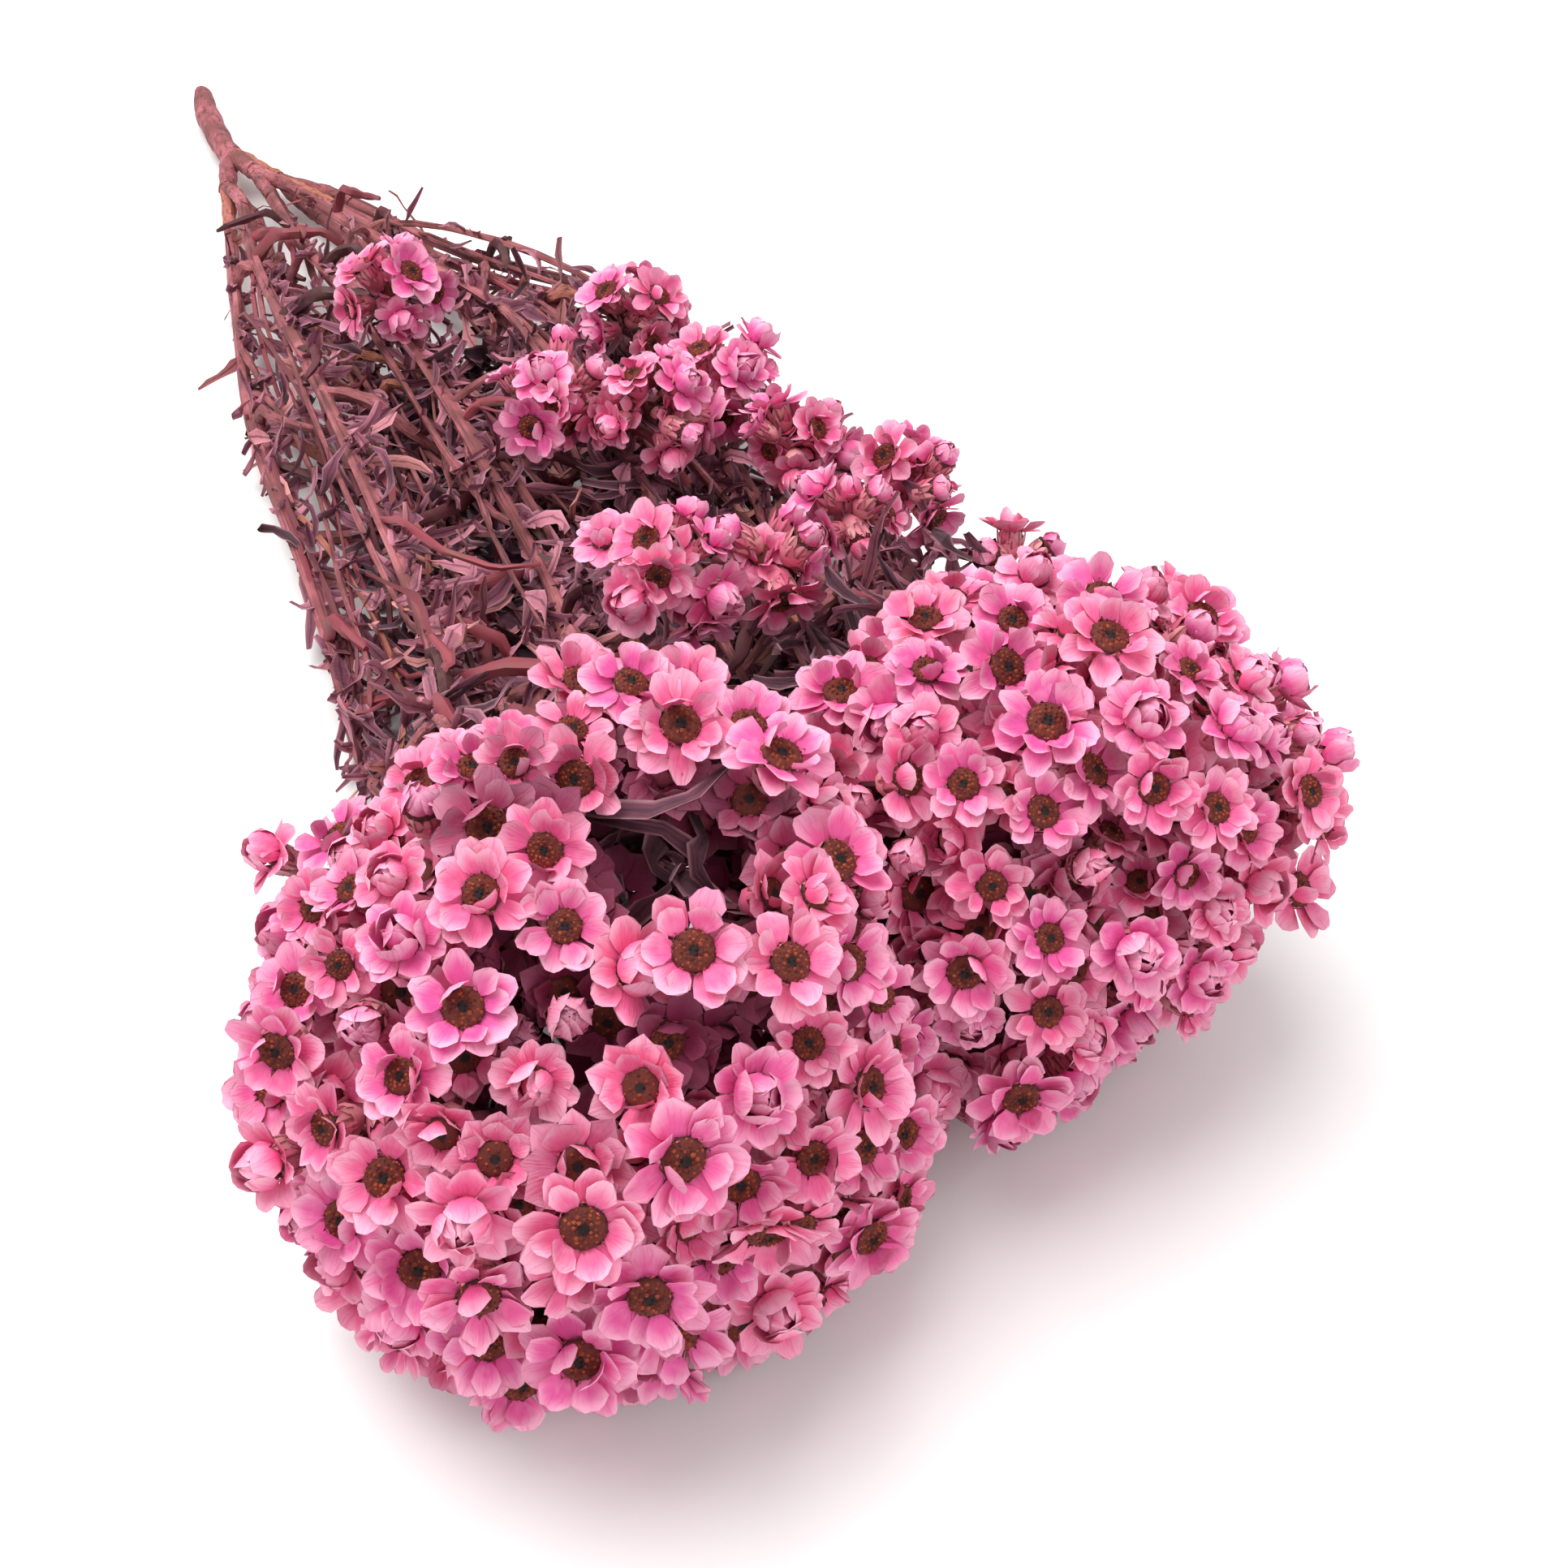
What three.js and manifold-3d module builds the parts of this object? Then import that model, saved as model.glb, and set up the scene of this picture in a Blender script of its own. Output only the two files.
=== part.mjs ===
import * as THREE from 'three';
import { mergeVertices } from 'three/addons/utils/BufferGeometryUtils.js';
import Module from 'manifold-3d';

const wasm = await Module();
wasm.setup();

// Sizes in millimetres. The bunch lies on z = 0, its flower heads towards -y and its cut end towards +y.
const SHIFT = new THREE.Vector3(-3.424, 0.356, 0);
const GAP = 0.3;

// Woody stalk: cut end, bend and first fork, then the row of fork tips where the leafy stems begin.
const CUT_END = new THREE.Vector3(-11, 222, 3.1);
const STALK_BEND = new THREE.Vector3(-14.5, 196, 4);
const FORK = new THREE.Vector3(-13, 168, 6);
const STALK_RADIUS = 3.2;
const STALK_TOP_RADIUS = 2.9;
const STALK_SIDES = 7;
const LIMB_FOOT_RADIUS = 2.4;
const LIMB_RADIUS = 2.1;
const LIMB_SIDES = 5;
const FORK_FOOT_RADIUS = 1.8;
const FORK_TIP_RADIUS = 1.5;
const FORK_SINK = new THREE.Vector3(0, 2, 0);
const LIMBS = [
  { fork: new THREE.Vector3(-18, 149, 6), stems: [0, 1, 2] },
  { fork: new THREE.Vector3(-11, 147, 10), stems: [3, 4, 5] },
  { fork: new THREE.Vector3(-5, 149, 6), stems: [6, 7, 8] },
];

// The bundle of stems from its forks to the heads: its middle, half width and spread in height.
const BUNDLE = [
  { y: 126, middle: -7, half: 15, rise: 0.55 },
  { y: 84, middle: -3, half: 27, rise: 0.75 },
  { y: 25, middle: 8, half: 43, rise: 1 },
  { y: -48, middle: 10, half: 49, rise: 1.05 },
  { y: -84, middle: 8, half: 50, rise: 1.05 },
];

// Each leafy stem: its place across the bundle from -1 to 1, its height, and the sprays that it feeds.
const STEMS = [
  { across: -1, height: 8, head: 'left', feeds: [4, 5] },
  { across: -0.74, height: 19, head: 'left', feeds: [2, 3, 7] },
  { across: -0.52, height: 8, head: 'left', feeds: [6, 8] },
  { across: -0.26, height: 21, head: 'left', feeds: [0, 1] },
  { across: -0.02, height: 8, head: 'right', feeds: [4] },
  { across: 0.2, height: 21, head: 'right', feeds: [3, 6] },
  { across: 0.46, height: 8, head: 'right', feeds: [5, 7] },
  { across: 0.7, height: 13, head: 'right', feeds: [1, 2] },
  { across: 1, height: 13, head: 'right', feeds: [0] },
];
const STEM_RADIUS = 1.4;
const STEM_END_RADIUS = 1.1;
const STEM_STEPS = 9;
const ARM_RADIUS = 1;
const ARM_REACH = 0.55;
const ARM_STEPS = 2;
const ARM_BEND = 9;
const ARM_TIP = 3;
const FORK_BEND = 11;
const BRANCH_SIDES = 4;
const WAVE = 2.2;
const STEM_SEED = 5000;
const LEAF_SEED = 9000;
const HOLLOW_SEED = 8000;
const SEED_STEP = 71;

// Big flower heads: middle of the dome, way it faces, point that its sprays spread from, share covered,
// how far its blooms turn to face that way, and how far its far side leans sideways and is pressed flat.
const HEADS = {
  left: {
    centre: new THREE.Vector3(-33, -178.5, 35.5),
    facing: new THREE.Vector3(-0.1, -0.75, 0.65),
    root: new THREE.Vector3(-30, -80, 15),
    radius: 36,
    turned: 0.5,
    lean: 0,
    flat: 0,
    cap: 1.85,
    places: 105,
    ring: [0.35, 1.05, 1.75, 2.44, 3.14, 4.01, 5.41],
    seed: 31,
  },
  right: {
    centre: new THREE.Vector3(29, -168, 33.5),
    facing: new THREE.Vector3(0.15, -0.72, 0.65),
    root: new THREE.Vector3(33, -72, 15),
    radius: 32.5,
    turned: 0.5,
    lean: 0.25,
    flat: 0.12,
    cap: 1.85,
    places: 97,
    ring: [0.17, 0.87, 1.57, 2.35, 4.01, 5.41],
    seed: 57,
  },
};
const FAR_SIDE = new THREE.Vector3(0.25, 0.59, 0.77).normalize();
const LEAN_SIDE = new THREE.Vector3(0.92, -0.4, 0).normalize();
const RING_ANGLE = 0.26;
const CORE = [3.14, 0];
const CORE_ANGLE = 0.1;
const LUMP = 3;
const SPRAY_PUSH = 3.6;
const HOLLOW = new THREE.Vector3(0.22, -0.24, 0.94).normalize();
const HOLLOW_ANGLE = 0.34;
const HOLLOW_STEM = 3;
const HEAD_GAP = 4.4;
const SPRAY_BASE = 43;
const SPRAY_TOP_DEPTH = 13;
const PEDUNCLE_RADIUS = 1.15;
const PEDUNCLE_TIP_RADIUS = 0.95;
const PEDICEL_RADIUS = 0.62;
const PEDICEL_STEP = 2.5;
const FOOT_TAPER = 0.5;
const NECK_FLARE = 1.3;
const PEDICEL_START = 0.4;
const PEDUNCLE_BARE = 3;

// Single blooms that stand away from the heads: place, way that they face, and what decides their kind.
const STRAYS = {
  left: [
    { at: new THREE.Vector3(-61, -122, 24), up: new THREE.Vector3(-0.8, 0.1, 0.6), pick: 0.2 },
    { at: new THREE.Vector3(-53, -131, 32), up: new THREE.Vector3(-0.6, -0.1, 0.8), pick: 0.9 },
    { at: new THREE.Vector3(-62, -144, 27), up: new THREE.Vector3(-0.85, -0.3, 0.45), pick: 0.25 },
    { at: new THREE.Vector3(-47, -206, 6.5), up: new THREE.Vector3(-0.15, -0.8, -0.55), pick: 0.6 },
  ],
  right: [
    { at: new THREE.Vector3(70, -134, 39), up: new THREE.Vector3(0.5, 0.1, 0.85), pick: 0.7 },
    { at: new THREE.Vector3(77, -130, 36), up: new THREE.Vector3(0.5, 0.3, 0.8), pick: 0.5 },
    { at: new THREE.Vector3(79, -139, 32), up: new THREE.Vector3(0.7, 0.1, 0.7), pick: 0.2 },
    { at: new THREE.Vector3(73, -147, 34), up: new THREE.Vector3(0.8, -0.2, 0.6), pick: 0.8 },
  ],
};

// Small side sprays: middle, how many blooms, the stem that bears each, and how far back it leaves it.
const SIDE_SPRAYS = [
  { centre: new THREE.Vector3(-6, 26, 30), blooms: 5, stem: 3, reach: 20, closed: 0 },
  { centre: new THREE.Vector3(9, -35, 34), blooms: 6, stem: 3, reach: 20, closed: 0.2 },
  { centre: new THREE.Vector3(24, -44, 34), blooms: 6, stem: 5, reach: 22, closed: 0.2 },
  { centre: new THREE.Vector3(37.5, 7, 25), blooms: 5, stem: 7, reach: 20, closed: 0.1 },
  { centre: new THREE.Vector3(45, -25, 25), blooms: 5, stem: 8, reach: 20, closed: 0.1 },
  { centre: new THREE.Vector3(48, -53, 27), blooms: 4, stem: 8, reach: 16, closed: 0.1 },
  { centre: new THREE.Vector3(60, -72, 26), blooms: 4, stem: 8, reach: 20, closed: 0 },
  { centre: new THREE.Vector3(41, -88, 33), blooms: 3, stem: 7, reach: 20, closed: 1 },
  { centre: new THREE.Vector3(3, -111, 46), blooms: 6, stem: 3, reach: 28, closed: 0.3 },
  { centre: new THREE.Vector3(17, -111.5, 44), blooms: 4, stem: 5, reach: 28, closed: 0.3 },
  { centre: new THREE.Vector3(64, -104, 27), blooms: 2, stem: 8, reach: 22, closed: 1 },
];
const SIDE_AREA = 92;
const SIDE_CAP = 1.55;
const SIDE_FOOT = 2;
const SIDE_RISE = 5;
const SIDE_STEPS = 2;
const SIDE_UP = 0.6;
const SIDE_TOP = 0.35;
const SIDE_SEED = 200;

// Blooms: petal tips and notches (radius, height), centre and cup, open, half closed and in bud.
const KINDS = {
  open: { petals: 5, tip: 5.9, tipRise: 1.5, notch: 0.72, notchRise: 0.7, eye: 1.8, eyeRise: 0.25 },
  half: { petals: 4, tip: 4.4, tipRise: 3.3, notch: 0.76, notchRise: 2, eye: 0, eyeRise: 0.6 },
  bud: { petals: 3, tip: 2.6, tipRise: 1.2, notch: 0.86, notchRise: 0.9, eye: 0, eyeRise: 3.8 },
};
const HALF_SHARE = 0.22;
const BUD_SHARE = 0.08;
const SMALLEST_OPEN = 3.7;
const SMALLEST_HALF = 2.9;
const SMALLEST_BUD = 2.3;
const NEIGHBOUR_REACH = 17;
const EYE_SIDES = 4;
const CUP_RADIUS = 1.9;
const CUP_DEPTH = 1.4;
const CUP_LENGTH = 5.2;
const BLOOM_GAP = 0.2;
const LOWEST_BLOOM = 5.2;
const LOW_BLOOM = 12;
const LOW_TILT = -0.3;
const BLOOM_JITTER = 0.06;
const BLOOM_LEAN = 0.5;
const BLOOM_LIFT = 3;
const LEAST_FACING = 0.5;
const FACING_SPARE = 0.25;
const GOLDEN_ANGLE = Math.PI * (3 - Math.sqrt(5));

// Leaves: narrow curled blades on the stems, and longer ones in the hollow between the heads.
const LEAVES_PER_STEM = 8;
const LEAF_WIDTH = 1;
const LEAF_THICKNESS = 0.55;
const LEAF_RINGS = [
  { step: 5, width: 0.9 },
  { step: 1, width: 1 },
];
const LEAF_STEPS = 8;
const LEAF_LENGTH = { least: 14, most: 27 };
const LEAF_TRIES = 13;
const LEAF_CLEARANCE = 1.8;
const CLEARANCE_CHECKS = 12;
const LEAF_FLOOR = 1.3;
const LEAF_SHRINK = 0.04;
const LEAF_OPEN = { least: 0.25, spread: 0.4 };
const LEAF_CURL = { middle: 0.5, spread: 1.7 };
const LEAF_TWIST = 0.9;
const LEAF_SPAN = { start: 0.06, length: 0.92, jitter: 0.8 };
const HOLLOW_LEAVES = 5;
const HOLLOW_SPAN = { start: 0.3, step: 0.14 };
const HOLLOW_LENGTH = 32;

const PETAL_PINK = 0xe191b3;
const PETAL_DEEP = 0xd983a8;
const STEM_COLOURS = [0x84545e, 0x8d5f66, 0x7c4e5b];
const STALK_COLOUR = 0xa06e6c;
const PETAL_ROUGHNESS = 0.75;
const STEM_ROUGHNESS = 0.85;
const STALK_ROUGHNESS = 0.8;

function draws(seed) {
  let state = seed;
  const draw = () => {
    state = (state * 16807) % 2147483647;
    return state / 2147483647;
  };
  draw();
  draw();
  return draw;
}

function branchDraws(draw) {
  return draws(1 + Math.floor(draw() * 2147483645));
}

function across(direction) {
  const reference = Math.abs(direction.z) < 0.9 ? new THREE.Vector3(0, 0, 1) : new THREE.Vector3(0, 1, 0);
  const u = new THREE.Vector3().crossVectors(reference, direction).normalize();
  const v = new THREE.Vector3().crossVectors(direction, u).normalize();
  return { u, v };
}

function ringAt(centre, u, v, sides, radius, turn = 0) {
  const ring = [];
  for (let i = 0; i < sides; i += 1) {
    const angle = turn + (i * 2 * Math.PI) / sides;
    const point = centre.clone();
    point.addScaledVector(u, radius * Math.cos(angle));
    point.addScaledVector(v, radius * Math.sin(angle));
    ring.push(point);
  }
  return ring;
}

// A closed skin over a row of rings, which may differ in their number of points; one point makes a tip.
function skin(rings) {
  const points = [];
  const faces = [];
  const starts = rings.map((ring) => {
    const start = points.length;
    points.push(...ring);
    return start;
  });
  for (let k = 0; k + 1 < rings.length; k += 1) {
    const a = rings[k].length;
    const b = rings[k + 1].length;
    let i = 0;
    let j = 0;
    while ((i < a && a > 1) || (j < b && b > 1)) {
      const p = starts[k] + (i % a);
      const q = starts[k + 1] + (j % b);
      if (b === 1 || j >= b || (a > 1 && i < a && (i + 0.5) / a <= (j + 0.5) / b)) {
        faces.push(p, q, starts[k] + ((i + 1) % a));
        i += 1;
      } else {
        faces.push(p, q, starts[k + 1] + ((j + 1) % b));
        j += 1;
      }
    }
  }
  const first = starts[0];
  const last = starts[starts.length - 1];
  for (let i = 1; i + 1 < rings[0].length; i += 1) {
    faces.push(first, first + i, first + i + 1);
  }
  for (let i = 1; i + 1 < rings[rings.length - 1].length; i += 1) {
    faces.push(last, last + i + 1, last + i);
  }
  const geometry = new THREE.BufferGeometry().setFromPoints(points);
  geometry.setIndex(faces);
  return geometry;
}

function spineOf(curve, steps) {
  return curve.getPoints(steps);
}

function along(spine, t) {
  const place = Math.min(Math.max(t, 0), 0.9999) * (spine.length - 1);
  const i = Math.floor(place);
  return spine[i].clone().lerp(spine[i + 1], place - i);
}

function heading(spine, t) {
  const i = Math.floor(Math.min(Math.max(t, 0), 0.9999) * (spine.length - 1));
  return spine[i + 1].clone().sub(spine[i]).normalize();
}

// Section directions carried along a spine without twisting.
function sections(spine) {
  const frames = [];
  let u = null;
  spine.forEach((point, i) => {
    const ahead = spine[Math.min(i + 1, spine.length - 1)];
    const tangent = ahead.clone().sub(spine[Math.max(i - 1, 0)]).normalize();
    u = u ? u.clone().addScaledVector(tangent, -u.dot(tangent)).normalize() : across(tangent).u;
    frames.push({ u, v: new THREE.Vector3().crossVectors(tangent, u) });
  });
  return frames;
}

function tube(spine, sides, startRadius, endRadius) {
  const rings = sections(spine).map(({ u, v }, i) => {
    const radius = startRadius + ((endRadius - startRadius) * i) / (spine.length - 1);
    return ringAt(spine[i], u, v, sides, radius);
  });
  return skin(rings.reverse());
}

function solid(geometry) {
  const welded = mergeVertices(geometry);
  const vertProperties = Float32Array.from(welded.getAttribute('position').array);
  const triVerts = Uint32Array.from(welded.getIndex().array);
  return new wasm.Manifold(new wasm.Mesh({ numProp: 3, vertProperties, triVerts }));
}

// Joins the pieces of one node, cuts it flat where it is pressed on the surface and drops any loose scrap.
function fuse(geometries) {
  const grown = wasm.Manifold.union(geometries.map(solid)).trimByPlane([0, 0, 1], 0);
  const bodies = grown.decompose();
  bodies.sort((a, b) => b.volume() - a.volume());
  return bodies[0];
}

function piece(name, geometries, colour, roughness) {
  const mesh = fuse(geometries).getMesh();
  const geometry = new THREE.BufferGeometry();
  geometry.setAttribute('position', new THREE.Float32BufferAttribute(mesh.vertProperties, 3));
  geometry.setIndex(Array.from(mesh.triVerts));
  geometry.translate(SHIFT.x, SHIFT.y, SHIFT.z);
  const material = new THREE.MeshStandardMaterial({ color: colour, roughness, metalness: 0 });
  const result = new THREE.Mesh(geometry, material);
  result.name = name;
  return result;
}

// Blooms spread evenly over a dome by the golden angle, each nudged a little.
function domeBlooms(dome, seed) {
  const facing = dome.facing.clone().normalize();
  const { u, v } = across(facing);
  const draw = draws(seed);
  const blooms = [];
  for (let k = 0; k < dome.places; k += 1) {
    const level = 1 - ((k + 0.5) / dome.places) * (1 - Math.cos(dome.cap));
    const side = Math.sqrt(1 - level * level);
    const angle = k * GOLDEN_ANGLE;
    const out = facing.clone().multiplyScalar(level);
    out.addScaledVector(u, side * Math.cos(angle));
    out.addScaledVector(v, side * Math.sin(angle));
    out.x += (draw() - 0.5) * BLOOM_JITTER;
    out.y += (draw() - 0.5) * BLOOM_JITTER;
    out.z += (draw() - 0.5) * BLOOM_JITTER;
    out.normalize();
    const lean = new THREE.Vector3(draw() - 0.5, draw() - 0.5, draw() - 0.5);
    const height = (draw() - 0.5) * BLOOM_LIFT;
    const spin = draw() * 2 * Math.PI;
    const pick = draw();
    blooms.push({ out, lean, height, spin, pick });
  }
  return blooms;
}

function settleBloom(bloom, { centre, radius, facing, turned = 0, lean = 0, flat = 0 }) {
  bloom.at = centre.clone().addScaledVector(bloom.out, radius + bloom.height);
  const far = bloom.out.dot(FAR_SIDE) * radius;
  bloom.at.addScaledVector(LEAN_SIDE, far * lean).addScaledVector(FAR_SIDE, -Math.max(far, 0) * flat);
  bloom.at.z = Math.max(bloom.at.z, LOWEST_BLOOM);
  bloom.up = bloom.out.clone().multiplyScalar(1 - turned).addScaledVector(facing.clone().normalize(), turned);
  bloom.up.addScaledVector(bloom.lean, BLOOM_LEAN).normalize();
  if (bloom.at.z < LOW_BLOOM) {
    bloom.up.z = Math.max(bloom.up.z, LOW_TILT);
    bloom.up.normalize();
  }
}

function sprayAxes(head) {
  const facing = head.centre.clone().sub(head.root).normalize();
  const { u, v } = across(facing);
  const axisAt = (polar, turn) => {
    const axis = facing.clone().multiplyScalar(Math.cos(polar));
    axis.addScaledVector(u, Math.sin(polar) * Math.cos(turn));
    return axis.addScaledVector(v, Math.sin(polar) * Math.sin(turn));
  };
  const ring = head.ring.map((turn) => axisAt(RING_ANGLE, turn));
  return [...ring, ...CORE.map((turn) => axisAt(CORE_ANGLE, turn))];
}

function nearestAxis(axes, ray) {
  let best = 0;
  for (let k = 1; k < axes.length; k += 1) {
    if (ray.dot(axes[k]) > ray.dot(axes[best])) {
      best = k;
    }
  }
  return best;
}

function headSprays(side) {
  const head = HEADS[side];
  const other = HEADS[side === 'left' ? 'right' : 'left'];
  const between = head.centre.clone().add(other.centre).multiplyScalar(0.5);
  const away = head.centre.clone().sub(other.centre).normalize();
  const axes = sprayAxes(head);
  const draw = draws(head.seed + 1);
  const sprays = axes.map((axis, k) => {
    const push = (draw() - 0.5) * 2 * SPRAY_PUSH;
    return { name: `spray_${side}_${k + 1}`, push, blooms: [], key: k };
  });
  for (const bloom of domeBlooms(head, head.seed)) {
    settleBloom(bloom, head);
    const inHollow = side === 'left' && bloom.out.angleTo(HOLLOW) < HOLLOW_ANGLE;
    const crowded = bloom.at.clone().sub(between).dot(away) < HEAD_GAP;
    const buried = head.centre.z + bloom.out.z * head.radius < 0.5;
    if (inHollow || crowded || buried) {
      continue;
    }
    const ray = bloom.at.clone().sub(head.root).normalize();
    const best = nearestAxis(axes, ray);
    const lump = 1 - (ray.angleTo(axes[best]) / RING_ANGLE) ** 2 * 2;
    bloom.at.addScaledVector(bloom.out, LUMP * Math.max(lump, -1) + sprays[best].push);
    bloom.at.z = Math.max(bloom.at.z, LOWEST_BLOOM);
    sprays[best].blooms.push(bloom);
  }
  for (const stray of STRAYS[side]) {
    const best = nearestAxis(axes, stray.at.clone().sub(head.root).normalize());
    sprays[best].blooms.push({ ...stray, up: stray.up.clone().normalize(), spin: stray.pick });
  }
  for (const spray of sprays) {
    const middle = new THREE.Vector3();
    for (const bloom of spray.blooms) {
      middle.addScaledVector(bloom.at, 1 / spray.blooms.length);
    }
    const ray = middle.sub(head.root);
    const reach = ray.length();
    ray.normalize();
    spray.base = head.root.clone().addScaledVector(ray, SPRAY_BASE);
    spray.start = ray;
    const top = head.root.clone().addScaledVector(ray, reach - SPRAY_TOP_DEPTH);
    spray.spine = [spray.base, top];
    spray.blooms.sort((a, b) => (
      a.at.clone().sub(head.root).angleTo(ray) - b.at.clone().sub(head.root).angleTo(ray)
    ));
  }
  return sprays;
}

function sideSpray(site, index, stems) {
  const radius = Math.sqrt((site.blooms * SIDE_AREA) / (2 * Math.PI * (1 - Math.cos(SIDE_CAP))));
  const stem = stems[site.stem];
  const footY = site.centre.y + site.reach;
  const above = stem.spine.findLastIndex((point) => point.y > footY);
  const [from, to] = [stem.spine[above], stem.spine[above + 1]];
  const foot = from.clone().lerp(to, (footY - from.y) / (to.y - from.y));
  const rise = new THREE.Vector3(site.centre.x - foot.x, 0, site.centre.z - foot.z).normalize();
  const base = foot.clone().addScaledVector(rise, STEM_RADIUS + GAP);
  const facing = site.centre.clone().sub(foot).normalize();
  facing.z += SIDE_UP;
  const spray = { name: `side_spray_${index + 1}`, blooms: [], base, start: rise, key: index };
  for (const bloom of domeBlooms({ facing, cap: SIDE_CAP, places: site.blooms }, SIDE_SEED + index)) {
    settleBloom(bloom, { centre: site.centre, radius, facing });
    bloom.closed = site.closed;
    spray.blooms.push(bloom);
  }
  facing.normalize();
  const top = site.centre.clone().addScaledVector(facing, -radius * SIDE_TOP);
  const straight = base.clone().addScaledVector(rise, SIDE_FOOT);
  const control = straight.clone().addScaledVector(rise, SIDE_RISE);
  spray.spine = [base, ...spineOf(new THREE.QuadraticBezierCurve3(straight, control, top), SIDE_STEPS)];
  spray.blooms.sort((a, b) => b.out.dot(facing) - a.out.dot(facing));
  return spray;
}

function lengthOf(spine) {
  let length = 0;
  for (let i = 1; i < spine.length; i += 1) {
    length += spine[i].distanceTo(spine[i - 1]);
  }
  return length;
}

function plantPedicels(spray) {
  const length = lengthOf(spray.spine);
  const count = spray.blooms.length;
  const step = Math.min(PEDICEL_STEP, (length - PEDUNCLE_BARE) / count);
  spray.blooms.forEach((bloom, j) => {
    bloom.foot = along(spray.spine, 1 - ((j + PEDICEL_START) * step) / length);
    const reach = bloom.at.clone().sub(bloom.foot).normalize();
    const facing = bloom.up.dot(reach);
    if (facing < LEAST_FACING) {
      bloom.up.addScaledVector(reach, LEAST_FACING - facing + FACING_SPARE).normalize();
    }
  });
}

function kindOf(bloom) {
  const closed = bloom.closed ?? 0;
  if (bloom.pick < BUD_SHARE + closed * 0.5) {
    return 'bud';
  }
  return bloom.pick < BUD_SHARE + HALF_SHARE + closed ? 'half' : 'open';
}

// Each bloom keeps to its own side of the plane midway to every neighbour.
function sizeBlooms(blooms) {
  for (const bloom of blooms) {
    bloom.kind = kindOf(bloom);
  }
  for (const bloom of blooms) {
    const { tip, tipRise } = KINDS[bloom.kind];
    bloom.radius = tip;
    for (const other of blooms) {
      const gap = bloom.at.distanceTo(other.at);
      if (other === bloom || other.dropped || gap > NEIGHBOUR_REACH) {
        continue;
      }
      const toward = other.at.clone().sub(bloom.at).normalize();
      const along = toward.dot(bloom.up);
      const sideways = Math.sqrt(Math.max(1 - along * along, 0.01));
      const room = (gap / 2 - BLOOM_GAP - tipRise * along) / sideways;
      bloom.radius = Math.min(bloom.radius, room);
    }
    if (bloom.kind === 'open' && bloom.radius < SMALLEST_OPEN) {
      bloom.kind = 'half';
    }
    if (bloom.kind === 'half' && bloom.radius < SMALLEST_HALF) {
      bloom.kind = 'bud';
    }
    bloom.radius = Math.min(bloom.radius, KINDS[bloom.kind].tip);
    bloom.dropped = bloom.radius < SMALLEST_BUD;
  }
}

function bloomGeometry(bloom) {
  const kind = KINDS[bloom.kind];
  const { u, v } = across(bloom.up);
  const height = (rise) => bloom.at.clone().addScaledVector(bloom.up, rise);
  const outline = [];
  for (let i = 0; i < kind.petals * 2; i += 1) {
    const atTip = i % 2 === 0;
    const angle = bloom.spin + (i * Math.PI) / kind.petals;
    const radius = bloom.radius * (atTip ? 1 : kind.notch);
    const point = height(atTip ? kind.tipRise : kind.notchRise);
    point.addScaledVector(u, radius * Math.cos(angle));
    point.addScaledVector(v, radius * Math.sin(angle));
    outline.push(point);
  }
  const middle = height(kind.eyeRise);
  const eye = kind.eye > 0 ? ringAt(middle, u, v, EYE_SIDES, kind.eye, bloom.spin) : [middle];
  const cup = ringAt(height(-CUP_DEPTH), u, v, 3, CUP_RADIUS, bloom.spin);
  const neck = ringAt(height(-CUP_LENGTH), u, v, 3, PEDICEL_RADIUS * NECK_FLARE, bloom.spin);
  const reach = height(-CUP_LENGTH).sub(bloom.foot).normalize();
  const footU = u.clone().addScaledVector(reach, -u.dot(reach)).normalize();
  const footV = new THREE.Vector3().crossVectors(reach, footU);
  const foot = ringAt(bloom.foot, footU, footV, 3, PEDICEL_RADIUS * FOOT_TAPER, bloom.spin);
  return skin([eye, outline, cup, neck, foot]);
}

function sprayPiece(spray, colour) {
  const stalk = tube(spray.spine, BRANCH_SIDES, PEDUNCLE_RADIUS, PEDUNCLE_TIP_RADIUS);
  return piece(spray.name, [stalk, ...spray.blooms.map(bloomGeometry)], colour, PETAL_ROUGHNESS);
}

// The curve of each stem through the bundle, then on to the point where its arms part.
function stemCurves(sprays) {
  return STEMS.map((stem, index) => {
    const draw = draws(STEM_SEED + index * SEED_STEP);
    const points = BUNDLE.map((row, k) => {
      const swing = k === 0 ? 0 : WAVE;
      const x = row.middle + stem.across * row.half + (draw() - 0.5) * 2 * swing;
      const z = stem.height * row.rise + (draw() - 0.5) * swing;
      return new THREE.Vector3(x, row.y, z);
    });
    const fed = stem.feeds.map((key) => sprays[stem.head][key]);
    const meeting = new THREE.Vector3();
    for (const spray of fed) {
      meeting.addScaledVector(spray.base, 1 / fed.length);
    }
    points.push(points[points.length - 1].clone().lerp(meeting, ARM_REACH));
    const curve = new THREE.CatmullRomCurve3(points, false, 'catmullrom', 0.5);
    const spine = spineOf(curve, STEM_STEPS);
    spine[0].add(spine[1].clone().sub(spine[0]).normalize().multiplyScalar(GAP));
    return { index, name: `leafy_stem_${index + 1}`, spine, fed };
  });
}

function stemArms(stem) {
  const end = stem.spine[STEM_STEPS];
  return stem.fed.map((spray) => {
    const tip = spray.base.clone().addScaledVector(spray.start, -GAP);
    const straight = tip.clone().addScaledVector(spray.start, -ARM_TIP);
    const control = tip.clone().addScaledVector(spray.start, -ARM_BEND);
    return [...spineOf(new THREE.QuadraticBezierCurve3(end, control, straight), ARM_STEPS), tip];
  });
}

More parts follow.
